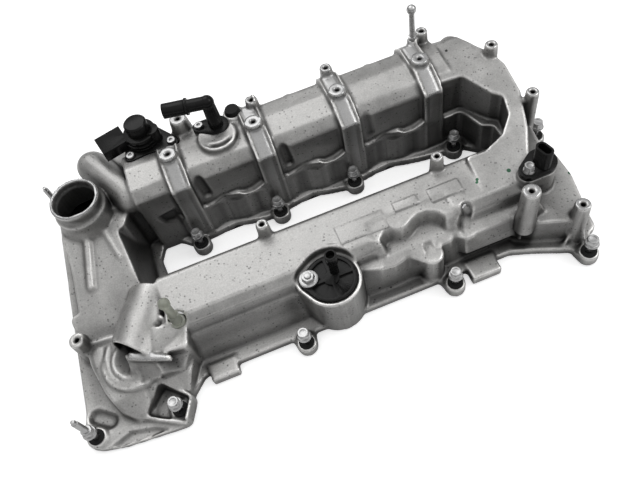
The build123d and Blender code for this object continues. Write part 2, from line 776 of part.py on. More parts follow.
cuts += [
    rod(NECK_X, NECK_Y, 40, NECK_TOP_Z + 1, NECK_BORE_D),
    rod(NECK_X, NECK_Y, NECK_TOP_Z - 7, NECK_TOP_Z + 1, NECK_MOUTH_D),
    stick((-70, -124, HOOD_Z), (-96, -175, HOOD_Z), 2 * (HOOD_R - WALL)),
    rod(FRONT_SENSOR_X, FRONT_SENSOR_Y, 30, 70, FRONT_BORE_D),
    rod(FRONT_NUT_X, FRONT_NUT_Y, 30, 70, FRONT_STUD_D + 2 * PRESS_GAP),
    rod(RIGHT_SENSOR_X, RIGHT_SENSOR_Y, 30, 90, RIGHT_BORE_D),
    rod(RIGHT_BOLT_X, RIGHT_BOLT_Y, RIGHT_SENSOR_Z - 14, 90, TAP_D),
    rod(VENT_X, VENT_Y, 70, VENT_SEAT_Z + 1, VENT_BORE_D),
    Pos(0, 0, VENT_SEAT_Z) * extrude(vent_outline(POCKET_GAP), 20),
    rod(ELBOW_X, ELBOW_Y, 80, 110, ELBOW_SEAT_D),
    Pos(0, 0, ELBOW_SEAT_Z) * extrude(elbow_outline(POCKET_GAP), 20),
    rod(ELBOW_LUG_X, ELBOW_LUG_Y, ELBOW_SEAT_Z - 10, 110, TAP_D),
    Pos(0, 0, COLLAR_TOP_Z - 5) * extrude(crescent, 10),
    rod(PLUG_X, PLUG_Y, 80, 110, PLUG_HOLE_D),
    rod(PLUG_X, PLUG_Y, PLUG_SEAT_Z, 110, PLUG_D + 2 * POCKET_GAP),
    rod(BALL_X, BALL_Y, BALL_SEAT_Z - 12, 110, BALL_PIN_D + 2 * PRESS_GAP),
    rod(CLEAR_BALL_X, CLEAR_BALL_Y, CLEAR_BALL_SEAT_Z - 11, 60, CLEAR_PIN_D + 2 * PRESS_GAP),
    rod(CLEAR_BALL_X, CLEAR_BALL_Y, CLEAR_BALL_SEAT_Z, HOLLOW_H, CLEAR_COLLAR_D + 2 * POCKET_GAP),
    seal_ring(rim_seal_outline, -1, GASKET_CLEAR, -1, GROOVE_DEPTH),
    seal_ring(slot_seal_outline, 1, GASKET_CLEAR, -1, GROOVE_DEPTH),
]
casting = casting - cuts

pieces = {"casting": casting}

# Rubber gaskets of the joint face
pieces["outer_gasket"] = seal_ring(rim_seal_outline, -1, 0, -GASKET_PROUD, GROOVE_DEPTH)
pieces["slot_gasket"] = seal_ring(slot_seal_outline, 1, 0, -GASKET_PROUD, GROOVE_DEPTH)

# Captive bolts: the lip of each rubber grommet runs in the neck of the bolt and stops its thread
seat_z = EAR_H + GROMMET_COLLAR_H
head_z = BOLT_TIP_Z + BOLT_LENGTH
thread_top = BOLT_TIP_Z + BOLT_THREAD_L


def grommet(x, y):
    """Rubber sleeve with a collar on the ear and an inner lip that holds the bolt."""
    sleeve = rod(x, y, 1, EAR_H, GROMMET_D) + rod(x, y, EAR_H, seat_z, GROMMET_COLLAR_D)
    bore = rod(x, y, 0, seat_z - GROMMET_LIP_H, GROMMET_BORE_D)
    return sleeve - [bore, rod(x, y, 0, seat_z + 1, GROMMET_LIP_D)]


def bolt_shank(x, y):
    """Threaded end with a point, and the thinner neck up to the head."""
    return (
        taper(x, y, BOLT_TIP_Z, BOLT_TIP_Z + BOLT_POINT, BOLT_D - 2, BOLT_D)
        + rod(x, y, BOLT_TIP_Z + BOLT_POINT, thread_top, BOLT_D)
        + rod(x, y, thread_top, head_z, BOLT_NECK_D)
    )


def hex_head(x, y, z, flange_d=BOLT_FLANGE_D, across_flats=BOLT_HEX, height=BOLT_HEX_H):
    """Flanged hexagon head whose underside is at z, with a dished top."""
    top = z + BOLT_FLANGE_H + height
    crown = taper(x, y, z, top, across_flats * 2.2, across_flats * 0.95)
    head = hexagon(x, y, z + BOLT_FLANGE_H - 0.5, top, across_flats) & crown
    flange = taper(x, y, z, z + BOLT_FLANGE_H, flange_d, flange_d - 2)
    return flange + head - rod(x, y, top - 0.8, top + 1, across_flats * 0.6)


def captive_bolt(x, y):
    """Bolt raised out of its seat, as the cover is delivered."""
    return bolt_shank(x, y) + hex_head(x, y, head_z)


def stud_bolt(x, y):
    """Captive bolt that carries a threaded stud above its hexagon."""
    top = head_z + BOLT_FLANGE_H + BOLT_HEX_H
    stud = rod(x, y, top - 2, STUD_TOP_Z - 4, BOLT_D)
    pilot = taper(x, y, STUD_TOP_Z - 4, STUD_TOP_Z, BOLT_D - 1, BOLT_D * 0.6)
    return captive_bolt(x, y) + [stud, pilot]


pieces["grommets"] = Part() + [grommet(x, y) for x, y in fastener_places]
for name, places in (("slot_bolt", SLOT_BOLTS), ("front_bolt", FRONT_BOLTS), ("rear_bolt", REAR_BOLTS)):
    for number, (x, y) in enumerate(places):
        pieces[f"{name}_{number + 1}"] = captive_bolt(x, y)
pieces["right_bolt"] = captive_bolt(*RIGHT_BOLTS[0])
pieces["front_stud_bolt"] = stud_bolt(*STUD_BOLTS[0])
pieces["rear_stud_bolt"] = stud_bolt(*STUD_BOLTS[1])


def seal_groove(x, y, seat, bore_d):
    """Groove in a spigot for the ring seal that fills the bore below the seat."""
    return tube(x, y, seat - SEAL_DROP - SEAL_H, seat - SEAL_DROP, bore_d + 1, bore_d - 2 * SEAL_DEPTH)


def ring_seal(x, y, seat, bore_d):
    """Ring seal between spigot and bore."""
    return tube(x, y, seat - SEAL_DROP - SEAL_H, seat - SEAL_DROP, bore_d, bore_d - 2 * SEAL_DEPTH)


# Ball studs for the engine beauty cover: one steel, one moulded
pieces["ball_stud_rear"] = (
    rod(BALL_X, BALL_Y, BALL_SEAT_Z - 11, 142, BALL_PIN_D)
    + rod(BALL_X, BALL_Y, BALL_SEAT_Z, BALL_SEAT_Z + 4, 8.4)
    + Pos(BALL_X, BALL_Y, 142) * Sphere(5)
)
pieces["ball_stud_front"] = (
    rod(CLEAR_BALL_X, CLEAR_BALL_Y, CLEAR_BALL_SEAT_Z - 10, 92, CLEAR_PIN_D)
    + rod(CLEAR_BALL_X, CLEAR_BALL_Y, CLEAR_BALL_SEAT_Z, CLEAR_BALL_SEAT_Z + 3, CLEAR_COLLAR_D)
    + rod(CLEAR_BALL_X, CLEAR_BALL_Y, CLEAR_BALL_SEAT_Z + 3, 72, 10.5)
    + taper(CLEAR_BALL_X, CLEAR_BALL_Y, 82, 88, CLEAR_PIN_D, 6.4)
    + Pos(CLEAR_BALL_X, CLEAR_BALL_Y, 94.5) * Sphere(5.6)
)

# Front sensor: ribbed disc with a nozzle, held by a stud and a flanged nut
front_top = FRONT_SENSOR_Z + SENSOR_PLATE_T
sector_floor = front_top - 2.5
sectors = rod(FRONT_SENSOR_X, FRONT_SENSOR_Y, sector_floor, front_top + 1, 2 * FRONT_SENSOR_R - 16)
spokes = [
    rod(FRONT_SENSOR_X, FRONT_SENSOR_Y, sector_floor - 1, front_top + 2, 15),
    block(FRONT_SENSOR_X - 30, FRONT_SENSOR_Y - 1.5, FRONT_SENSOR_X + 30, FRONT_SENSOR_Y + 1.5, 40, 70),
    block(FRONT_SENSOR_X - 1.5, FRONT_SENSOR_Y - 30, FRONT_SENSOR_X + 1.5, FRONT_SENSOR_Y + 30, 40, 70),
]
pieces["front_sensor_body"] = (
    (
        Pos(0, 0, FRONT_SENSOR_Z) * extrude(front_sensor_outline(0), SENSOR_PLATE_T)
        - [sectors - spokes, rod(FRONT_NUT_X, FRONT_NUT_Y, 50, 60, FRONT_STUD_D + 0.6)]
    )
    + [
        rod(FRONT_SENSOR_X, FRONT_SENSOR_Y, 36, FRONT_SENSOR_Z + 1, FRONT_BORE_D - 0.4),
        rod(FRONT_TOWER_X, FRONT_TOWER_Y, FRONT_SENSOR_Z + 1, 74, 8.6),
        rod(FRONT_TOWER_X, FRONT_TOWER_Y, 74, 87, 11),
    ]
    - [
        rod(FRONT_TOWER_X, FRONT_TOWER_Y, 79, 90, 8),
        seal_groove(FRONT_SENSOR_X, FRONT_SENSOR_Y, FRONT_SENSOR_Z, FRONT_BORE_D),
    ]
)
pieces["front_sensor_seal"] = ring_seal(FRONT_SENSOR_X, FRONT_SENSOR_Y, FRONT_SENSOR_Z, FRONT_BORE_D)
pieces["front_sensor_stud"] = rod(FRONT_NUT_X, FRONT_NUT_Y, 38, front_top + 9.5, FRONT_STUD_D)
nut = tube(FRONT_NUT_X, FRONT_NUT_Y, front_top, front_top + 3, 18, FRONT_STUD_D)
nut = nut + (
    hexagon(FRONT_NUT_X, FRONT_NUT_Y, front_top + 2, front_top + 8, 11)
    - rod(FRONT_NUT_X, FRONT_NUT_Y, front_top, front_top + 10, FRONT_STUD_D)
)
pieces["front_sensor_nut"] = nut

# Right sensor: flange with an oval plug tower
right_top = RIGHT_SENSOR_Z + SENSOR_PLATE_T
tower = SlotOverall(18, 11)
socket = SlotOverall(14, 7)
tower_place = Pos(324.5, -149.0, 0) * Rot(0, 0, -74)
pieces["right_sensor_body"] = (
    Pos(0, 0, RIGHT_SENSOR_Z) * extrude(right_sensor_outline(0), SENSOR_PLATE_T)
    + rod(RIGHT_SENSOR_X, RIGHT_SENSOR_Y, 42, RIGHT_SENSOR_Z + 1, RIGHT_BORE_D - 0.4)
    + tower_place * (Pos(0, 0, RIGHT_SENSOR_Z + 1) * extrude(tower, 27))
    - [
        tower_place * (Pos(0, 0, 88) * extrude(socket, 20)),
        rod(RIGHT_BOLT_X, RIGHT_BOLT_Y, 60, 90, BOLT_D),
        seal_groove(RIGHT_SENSOR_X, RIGHT_SENSOR_Y, RIGHT_SENSOR_Z, RIGHT_BORE_D),
    ]
)
pieces["right_sensor_seal"] = ring_seal(RIGHT_SENSOR_X, RIGHT_SENSOR_Y, RIGHT_SENSOR_Z, RIGHT_BORE_D)
pieces["right_sensor_bolt"] = rod(RIGHT_BOLT_X, RIGHT_BOLT_Y, right_top - 16, right_top, TAP_D) + hex_head(
    RIGHT_BOLT_X, RIGHT_BOLT_Y, right_top, 12, 9, 6
)

# Vent valve: flange, ribbed body, snap-on cap and plug box
vent_top = VENT_SEAT_Z + VENT_FLANGE_T
body_top = VENT_TOP_Z - 13
plug_box = Pos(-50, 45, 0) * Rot(0, 0, 14) * (
    Pos(0, 0, 104) * Box(28, 25, 12) - Pos(-9, 0, 104) * Box(14, 20, 8)
)
vent = Pos(0, 0, VENT_SEAT_Z) * extrude(vent_outline(0), VENT_FLANGE_T)
vent = vent + [
    rod(VENT_X, VENT_Y, VENT_SEAT_Z - 12, VENT_SEAT_Z + 1, VENT_BORE_D - 0.4),
    rod(VENT_X, VENT_Y, vent_top - 1, body_top, 30),
    rod(VENT_X, VENT_Y, vent_top + 1.5, vent_top + 3.5, 35),
    rod(VENT_X, VENT_Y, vent_top + 5.5, vent_top + 7.5, 35),
    rod(VENT_X, VENT_Y, vent_top + 9.5, body_top, 33),
    rod(VENT_X + 12, VENT_Y - 5, vent_top - 1, body_top + 2, 15),
    plug_box,
]
pieces["vent_valve_body"] = vent - [
    rod(VENT_X, VENT_Y, body_top, VENT_TOP_Z, VENT_CAP_D + 0.6),
    rod(VENT_X, VENT_Y, 70, body_top - 4, 12),
    seal_groove(VENT_X, VENT_Y, VENT_SEAT_Z, VENT_BORE_D),
    rod(VENT_LUG_X, VENT_LUG_Y, 90, 110, TAP_D + 0.6),
    rod(VENT_EAR_X, VENT_EAR_Y, 90, 110, TAP_D + 0.6),
    rod(VENT_EAR_X, VENT_EAR_Y, vent_top, 120, 10),
]
pieces["vent_valve_cap"] = rod(VENT_X, VENT_Y, body_top, VENT_TOP_Z - 1.5, VENT_CAP_D) + taper(
    VENT_X, VENT_Y, VENT_TOP_Z - 1.5, VENT_TOP_Z, VENT_CAP_D, VENT_CAP_D - 3
)
pieces["vent_valve_seal"] = ring_seal(VENT_X, VENT_Y, VENT_SEAT_Z, VENT_BORE_D)


def pan_screw(x, y, z, grip):
    """Small screw with a low round head whose underside is at z."""
    head = rod(x, y, z, z + 3, 8.5) - hexagon(x, y, z + 1.2, z + 4, 4)
    return head + rod(x, y, z - grip, z, TAP_D)


pieces["vent_valve_screws"] = Part() + [pan_screw(x, y, vent_top, 14) for x, y in vent_screw_places]

# Breather elbow: flange, riser and a run to the quick connector
corner = (ELBOW_X, ELBOW_Y, ELBOW_RUN_Z)
run_end = (ELBOW_END_X, ELBOW_END_Y, ELBOW_RUN_Z)


def along_run(t):
    """Point on the axis of the run, t = 0 at the corner and 1 at the end."""
    return tuple(a + (b - a) * t for a, b in zip(corner, run_end))


elbow_top = ELBOW_SEAT_Z + ELBOW_FLANGE_T
elbow = Pos(0, 0, ELBOW_SEAT_Z) * extrude(elbow_outline(0), ELBOW_FLANGE_T)
elbow = elbow + [
    rod(ELBOW_X, ELBOW_Y, ELBOW_SEAT_Z - 12, ELBOW_SEAT_Z + 1, ELBOW_SEAT_D - 0.4),
    taper(ELBOW_X, ELBOW_Y, elbow_top - 1, ELBOW_RUN_Z, ELBOW_D + 2, ELBOW_D),
    Pos(*corner) * Sphere(ELBOW_D / 2 + 0.6),
    stick(corner, along_run(0.96), ELBOW_D),
    stick(along_run(0.44), along_run(0.49), ELBOW_D + 4),
    stick(along_run(0.5), along_run(1.0), ELBOW_D + 2),
]
pieces["elbow_pipe"] = elbow - [
    rod(ELBOW_X, ELBOW_Y, 70, ELBOW_RUN_Z, ELBOW_BORE_D),
    stick(corner, along_run(1.1), ELBOW_BORE_D),
    Pos(*corner) * Sphere(ELBOW_BORE_D / 2),
    rod(ELBOW_LUG_X, ELBOW_LUG_Y, 90, 110, TAP_D + 0.6),
    seal_groove(ELBOW_X, ELBOW_Y, ELBOW_SEAT_Z, ELBOW_SEAT_D),
]
pieces["elbow_seal"] = ring_seal(ELBOW_X, ELBOW_Y, ELBOW_SEAT_Z, ELBOW_SEAT_D)
pieces["elbow_screw"] = pan_screw(ELBOW_LUG_X, ELBOW_LUG_Y, elbow_top, 13)

# Rubber plug beside the elbow
pieces["plug_cap"] = rod(PLUG_X, PLUG_Y, PLUG_SEAT_Z - 10, PLUG_SEAT_Z, PLUG_HOLE_D) + taper(
    PLUG_X, PLUG_Y, PLUG_SEAT_Z, PLUG_SEAT_Z + 4.5, PLUG_D, PLUG_D - 3
)

# Oil baffle under the roof of the rear arm
baffle = Pos(0, 0, BAFFLE_Z - BAFFLE_T) * extrude(
    Pos((BAFFLE_X0 + BAFFLE_X1) / 2, (BAFFLE_Y0 + BAFFLE_Y1) / 2)
    * RectangleRounded(BAFFLE_X1 - BAFFLE_X0, BAFFLE_Y1 - BAFFLE_Y0, 6),
    BAFFLE_T,
)
drain_x = [BAFFLE_X0 + 30 + 40 * i for i in range(6)]
baffle = baffle - (
    [rod(x, y, BAFFLE_Z - 3, BAFFLE_Z + 1, BAFFLE_SCREW_D + 0.4) for x, y in BAFFLE_PLACES]
    + [Pos(x, 12, BAFFLE_Z - 3) * extrude(SlotOverall(18, 5), 5) for x in drain_x]
)
pieces["oil_baffle"] = baffle
screw_seat = BAFFLE_Z - BAFFLE_T
pieces["baffle_screws"] = Part() + [
    rod(x, y, screw_seat - 2.2, screw_seat, 6.5) + rod(x, y, screw_seat, screw_seat + 11, BAFFLE_SCREW_D)
    for x, y in BAFFLE_PLACES
]

# Origin: centre of the footprint, on the plane the gaskets rest on
boxes = [piece.bounding_box() for piece in pieces.values()]
low_x = min(box.min.X for box in boxes)
high_x = max(box.max.X for box in boxes)
low_y = min(box.min.Y for box in boxes)
high_y = max(box.max.Y for box in boxes)
low_z = min(box.min.Z for box in boxes)
datum = Pos(-(low_x + high_x) / 2, -(low_y + high_y) / 2, -low_z)
print("datum", round((low_x + high_x) / 2, 4), round((low_y + high_y) / 2, 4), round(low_z, 4))

os.makedirs("parts", exist_ok=True)
for name, piece in pieces.items():
    export_step(datum * piece, f"parts/{name}.step")
    print(name, len(piece.solids()), len(piece.faces()), round(piece.volume))
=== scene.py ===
"""The looks of a die-cast camshaft cover: cast skin, finishes of its fittings, studio and camera."""

import math

import bmesh
import bpy
import numpy as np
from mathutils import Matrix, Vector
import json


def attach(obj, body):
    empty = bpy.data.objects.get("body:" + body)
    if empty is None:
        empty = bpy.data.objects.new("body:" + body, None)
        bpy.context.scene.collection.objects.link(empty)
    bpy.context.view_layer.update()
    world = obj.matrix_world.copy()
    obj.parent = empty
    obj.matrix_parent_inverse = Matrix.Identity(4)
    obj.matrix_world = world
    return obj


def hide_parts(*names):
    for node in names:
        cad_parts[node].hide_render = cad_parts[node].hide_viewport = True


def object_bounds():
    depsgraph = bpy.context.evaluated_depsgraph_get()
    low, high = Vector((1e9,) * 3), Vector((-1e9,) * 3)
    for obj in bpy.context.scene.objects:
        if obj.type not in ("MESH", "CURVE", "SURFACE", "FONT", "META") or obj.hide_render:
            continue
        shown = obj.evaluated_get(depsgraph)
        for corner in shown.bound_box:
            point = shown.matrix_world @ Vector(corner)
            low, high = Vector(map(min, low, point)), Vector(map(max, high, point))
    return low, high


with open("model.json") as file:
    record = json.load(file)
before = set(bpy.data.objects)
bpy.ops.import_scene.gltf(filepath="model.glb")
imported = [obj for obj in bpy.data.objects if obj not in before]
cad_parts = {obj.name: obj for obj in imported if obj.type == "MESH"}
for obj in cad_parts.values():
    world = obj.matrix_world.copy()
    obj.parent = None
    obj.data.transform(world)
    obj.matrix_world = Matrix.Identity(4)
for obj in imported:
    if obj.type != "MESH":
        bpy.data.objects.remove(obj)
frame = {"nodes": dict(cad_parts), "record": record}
cad_low, cad_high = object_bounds()
mounts = {m["name"]: m for m in frame["record"]["mounts"]}

# The measuring frame of the cover: axis of the first band boss, on the joint face
MM = 0.001
DATUM = np.array([*mounts["band_boss_1"]["pos_m"][:2], mounts["head_joint_face"]["pos_m"][2]])
FINE_VOXEL = 1.15 * MM
VOXEL = FINE_VOXEL
SKIN_TRIANGLES = 190000

# The four bands of the rear arm stand one cylinder pitch apart
BAND_X = [90.0 * number for number in range(4)]

BLACK = (0.0, 0.0, 0.0, 1.0)
WHITE = (1.0, 1.0, 1.0, 1.0)
WARM_WHITE = (1.0, 0.99, 0.97, 1.0)


def place(x, y, z):
    """A point of the measuring frame, given in millimetres, in the row frame."""
    return DATUM + np.array([x, y, z], float) * MM


# Node building

def add(tree, kind, **sockets):
    """A node whose sockets, named or numbered as i0 and i1, take a value or a link from another socket."""
    made = tree.nodes.new(kind)
    for name, value in sockets.items():
        key = int(name[1:]) if name[1:].isdigit() and name[0] == "i" else name.replace("_", " ")
        if isinstance(value, bpy.types.NodeSocket):
            tree.links.new(value, made.inputs[key])
        else:
            made.inputs[key].default_value = value
    return made


def maths(tree, operation, a, b=0.0, clamp=False):
    """One arithmetic step; returns its value socket."""
    made = add(tree, "ShaderNodeMath", i0=a, i1=b)
    made.operation = operation
    made.use_clamp = clamp
    return made.outputs[0]


def ramp(tree, value, low, high, start=0.0, end=1.0, smooth=True):
    """A value carried from low..high to start..end, held at both ends."""
    limits = {"From_Min": low, "From_Max": high, "To_Min": start, "To_Max": end}
    made = add(tree, "ShaderNodeMapRange", Value=value, **limits)
    made.interpolation_type = "SMOOTHSTEP" if smooth else "LINEAR"
    return made.outputs[0]


def blend_colour(tree, share, a, b):
    """Two colours mixed by a share."""
    made = tree.nodes.new("ShaderNodeMix")
    made.data_type = "RGBA"
    for index, value in ((0, share), (6, a), (7, b)):
        if isinstance(value, bpy.types.NodeSocket):
            tree.links.new(value, made.inputs[index])
        else:
            made.inputs[index].default_value = value
    return made.outputs[2]


def noise(tree, where, scale, detail, roughness=0.5):
    """Noise of a scale in cells for each metre."""
    made = add(tree, "ShaderNodeTexNoise", Vector=where, Scale=scale, Detail=detail, Roughness=roughness)
    return made.outputs[0]


def new_group(name, inputs, outputs):
    """A shader node group with named float or colour sockets."""
    tree = bpy.data.node_groups.new(name, "ShaderNodeTree")
    for label, kind, value in inputs:
        made = tree.interface.new_socket(name=label, in_out="INPUT", socket_type=kind)
        made.default_value = value
    for label, kind in outputs:
        tree.interface.new_socket(name=label, in_out="OUTPUT", socket_type=kind)
    start = tree.nodes.new("NodeGroupInput")
    end = tree.nodes.new("NodeGroupOutput")
    return tree, start.outputs, end.inputs


def speckle_group():
    """Mottling of a surface: broad clouds, fine grain and sparse dark specks."""
    number = "NodeSocketFloat"
    tree, given, put = new_group(
        "metal_speckle",
        [("Cloud Scale", number, 40.0), ("Grain Scale", number, 700.0), ("Speck Scale", number, 260.0)],
        [("Cloud", number), ("Grain", number), ("Speck", number), ("Height", number)],
    )
    where = tree.nodes.new("ShaderNodeTexCoord").outputs["Object"]
    cloud = noise(tree, where, given["Cloud Scale"], 4.0, 0.6)
    grain = noise(tree, where, given["Grain Scale"], 2.0, 0.6)
    cell = add(tree, "ShaderNodeTexVoronoi", Vector=where, Scale=given["Speck Scale"])
    gate = noise(tree, where, 90.0, 2.0)
    spot = ramp(tree, cell.outputs["Distance"], 0.12, 0.32, 1.0, 0.0)
    speck = maths(tree, "MULTIPLY", spot, ramp(tree, gate, 0.44, 0.6))
    rough = maths(tree, "MULTIPLY", grain, 0.5)
    height = maths(tree, "SUBTRACT", rough, maths(tree, "MULTIPLY", speck, 0.4))
    for name, socket in (("Cloud", cloud), ("Grain", grain), ("Speck", speck), ("Height", height)):
        tree.links.new(socket, put[name])
    return tree


SPECKLE = speckle_group()


def material(name):
    """An empty material with a Principled shader; returns material, tree and shader."""
    made = bpy.data.materials.new(name)
    made.use_nodes = True
    tree = made.node_tree
    return made, tree, tree.nodes["Principled BSDF"]


# Most of a noise lies between these values
NOISE_LOW = 0.3
NOISE_HIGH = 0.7


def mottled(tree, cloud, start, end, smooth=True):
    """The usual span of a noise carried to start..end."""
    return ramp(tree, cloud, NOISE_LOW, NOISE_HIGH, start, end, smooth)


def mask_of(tree, name):
    """The value of a named mesh attribute."""
    made = tree.nodes.new("ShaderNodeAttribute")
    made.attribute_name = name
    return made.outputs["Fac"]


def use_group(tree, group, **values):
    """A group placed in a material with its own values."""
    made = tree.nodes.new("ShaderNodeGroup")
    made.node_tree = group
    for name, value in values.items():
        made.inputs[name.replace("_", " ")].default_value = value
    return made.outputs


def bump(tree, shader, height, strength, distance):
    """Relief on the shader's normal."""
    made = add(tree, "ShaderNodeBump", Height=height, Strength=strength, Distance=distance)
    tree.links.new(made.outputs[0], shader.inputs["Normal"])


# Strokes of paint on the skin: place in the measuring frame, radius in millimetres, colour
GREEN_PAINT = (0.004, 0.09, 0.035, 1.0)
DARK_PAINT = (0.01, 0.012, 0.012, 1.0)
PAINT_MARKS = [
    ((304.4, 9.4, 97), 2.0, DARK_PAINT),
    ((299.8, -11.6, 97), 1.8, DARK_PAINT),
    ((299.0, -136.2, 66), 2.4, GREEN_PAINT),
    ((266.0, -135.0, 66), 2.2, GREEN_PAINT),
    ((267.6, -132.6, 66), 1.9, GREEN_PAINT),
    ((360.0, -149.7, 42), 2.2, GREEN_PAINT),
    ((-144.0, -149.6, 14), 1.8, GREEN_PAINT),
    ((-140.6, -148.3, 14), 1.9, GREEN_PAINT),
    ((145.0, -176.0, 14), 1.9, DARK_PAINT),
    ((156.0, -176.0, 9), 1.7, DARK_PAINT),
]

# Painted grey of the skin in full painted shade, and the painted light that an open sky adds to it
SHADED_LEVEL = 0.045
OPEN_LEVEL = 0.40
CAST_METALLIC = 0.85


def cast_grey_with_painted_light(tree, speckle, sky, edge):
    """
    Grey level of the as-cast skin with painted light and shade: it grows with the square of the open sky,
    as painted shade where little sky reaches, falls in corners as painted shade, rises on edges as a painted
    highlight, and is mottled by the clouds, grain and specks.
    """
    open_sky = maths(tree, "POWER", ramp(tree, sky, 0.1, 0.85, 0.0, 1.0, False), 2.0)
    level = maths(tree, "MULTIPLY_ADD", open_sky, OPEN_LEVEL)
    level.node.inputs[2].default_value = SHADED_LEVEL
    for share in (
        # painted shade in corners, then painted highlight on edges, from the edge mask
        ramp(tree, edge, -0.35, -0.03, 0.45, 1.0, False),
        ramp(tree, edge, 0.05, 0.4, 1.0, 1.9, False),
        mottled(tree, speckle["Cloud"], 0.86, 1.12),
        mottled(tree, speckle["Grain"], 0.88, 1.12, False),
        ramp(tree, speckle["Speck"], 0.0, 1.0, 1.0, 0.45, False),
    ):
        level = maths(tree, "MULTIPLY", level, share)
    return level


def paint_strokes(tree, surface):
    """The surface colour with each stroke of paint laid over it, faded out at its rim."""
    where = tree.nodes.new("ShaderNodeTexCoord").outputs["Object"]
    for (x, y, z), size, colour in PAINT_MARKS:
        reach = add(tree, "ShaderNodeVectorMath", i0=where, i1=tuple(place(x, y, z)))
        reach.operation = "DISTANCE"
        cover = ramp(tree, reach.outputs["Value"], 0.75 * size * MM, size * MM, 0.9, 0.0)
        surface = blend_colour(tree, cover, surface, colour)
    return surface


def cast_aluminium():
    """As-cast skin with machined faces, with painted shade where little of the sky reaches it and painted
    highlights on edges, by the skin's own masks.
    """
    made, tree, shader = material("cast_aluminium")
    speckle = use_group(tree, SPECKLE)
    machined = mask_of(tree, "machined")
    sky = mask_of(tree, "sky")
    edge = mask_of(tree, "edge")
    level = cast_grey_with_painted_light(tree, speckle, sky, edge)
    grain = mottled(tree, speckle["Grain"], 0.92, 1.06, False)
    # Machined faces too get painted shade where little of the sky reaches them
    bare_grey_with_painted_shade = maths(tree, "MULTIPLY", ramp(tree, sky, 0.1, 0.7, 0.20, 0.46), grain)
    cast = blend_colour(tree, level, BLACK, WARM_WHITE)
    cut = blend_colour(tree, bare_grey_with_painted_shade, BLACK, WHITE)
    surface = paint_strokes(tree, blend_colour(tree, machined, cast, cut))
    tree.links.new(surface, shader.inputs["Base Color"])
    shader.inputs["Metallic"].default_value = CAST_METALLIC
    rough = mottled(tree, speckle["Cloud"], 0.36, 0.48)
    rough = maths(tree, "SUBTRACT", rough, maths(tree, "MULTIPLY", machined, 0.1))
    rough = maths(tree, "SUBTRACT", rough, ramp(tree, edge, 0.05, 0.4, 0.0, 0.1, False))
    tree.links.new(rough, shader.inputs["Roughness"])
    bump(tree, shader, speckle["Height"], 0.35, 0.5 * MM)
    return made


def moulded_plastic(name, level, roughness, spread):
    """Black filled plastic, faintly cloudy and grained."""
    made, tree, shader = material(name)
    shader.inputs["Specular IOR Level"].default_value = 0.2
    speckle = use_group(tree, SPECKLE, Cloud_Scale=60.0, Grain_Scale=1400.0, Speck_Scale=500.0)
    tone = mottled(tree, speckle["Cloud"], level - spread, level + spread)
    tree.links.new(blend_colour(tree, tone, BLACK, WHITE), shader.inputs["Base Color"])
    dull = mottled(tree, speckle["Cloud"], roughness - 0.06, roughness + 0.08)
    tree.links.new(dull, shader.inputs["Roughness"])
    bump(tree, shader, speckle["Height"], 0.12, 0.2 * MM)
    return made


def steel(name, level, roughness):
    """Plated or turned steel, slightly cloudy."""
    made, tree, shader = material(name)
    speckle = use_group(tree, SPECKLE, Cloud_Scale=150.0, Grain_Scale=1800.0, Speck_Scale=700.0)
    tone = mottled(tree, speckle["Cloud"], level - 0.06, level + 0.06)
    tone = maths(tree, "SUBTRACT", tone, maths(tree, "MULTIPLY", speckle["Speck"], 0.15))
    tree.links.new(blend_colour(tree, tone, BLACK, WHITE), shader.inputs["Base Color"])
    shader.inputs["Metallic"].default_value = 1.0
    dull = mottled(tree, speckle["Cloud"], roughness - 0.05, roughness + 0.08)
    tree.links.new(dull, shader.inputs["Roughness"])
    bump(tree, shader, speckle["Height"], 0.15, 0.2 * MM)
    return made


def milky_plastic():
    """Translucent greenish nylon."""
    made, tree, shader = material("milky_plastic")
    speckle = use_group(tree, SPECKLE, Cloud_Scale=120.0)
    cloud = mottled(tree, speckle["Cloud"], 0.0, 1.0)
    tint = blend_colour(tree, cloud, (0.50, 0.52, 0.44, 1.0), (0.62, 0.64, 0.56, 1.0))
    tree.links.new(tint, shader.inputs["Base Color"])
    shader.inputs["Roughness"].default_value = 0.28
    shader.inputs["Transmission Weight"].default_value = 0.65
    shader.inputs["IOR"].default_value = 1.5
    return made


MATERIALS = {
    "cast_aluminium": cast_aluminium(),
    "black_plastic": moulded_plastic("black_plastic", level=0.007, roughness=0.26, spread=0.002),
    "black_rubber": moulded_plastic("black_rubber", level=0.012, roughness=0.6, spread=0.003),
    "zinc_steel": steel("zinc_steel", level=0.52, roughness=0.32),
    "bright_steel": steel("bright_steel", level=0.58, roughness=0.28),
    "milky_plastic": milky_plastic(),
    "baffle_sheet": steel("baffle_sheet", level=0.62, roughness=0.42),
}

# Every fitting of the record takes the finish of its material slot
slot_of = {part["node"]: part["material_slot"] for part in frame["record"]["subparts"]}
for name, thing in frame["nodes"].items():
    thing.data.materials.clear()
    thing.data.materials.append(MATERIALS[slot_of[name]])


# The cast skin

def points_of(mesh):
    """Vertex positions as an array."""
    spots = np.zeros(len(mesh.vertices) * 3, np.float32)
    mesh.vertices.foreach_get("co", spots)
    return spots.reshape(-1, 3).astype(float)


def edges_of(mesh):
    """Vertex pairs of every edge."""
    pairs = np.zeros(len(mesh.edges) * 2, np.int32)
    mesh.edges.foreach_get("vertices", pairs)
    return pairs.reshape(-1, 2)


def normals_of(mesh):
    """Vertex normals as an array."""
    made = np.zeros(len(mesh.vertices) * 3, np.float32)
    mesh.vertices.foreach_get("normal", made)
    return made.reshape(-1, 3).astype(float)


def move_points(mesh, spots):
    """Writes vertex positions."""
    mesh.vertices.foreach_set("co", spots.astype(np.float32).ravel())
    mesh.update()


def put_mask(mesh, name, values):
    """Stores one value for each vertex."""
    layer = mesh.attributes.new(name, "FLOAT", "POINT")
    layer.data.foreach_set("value", values.astype(np.float32))


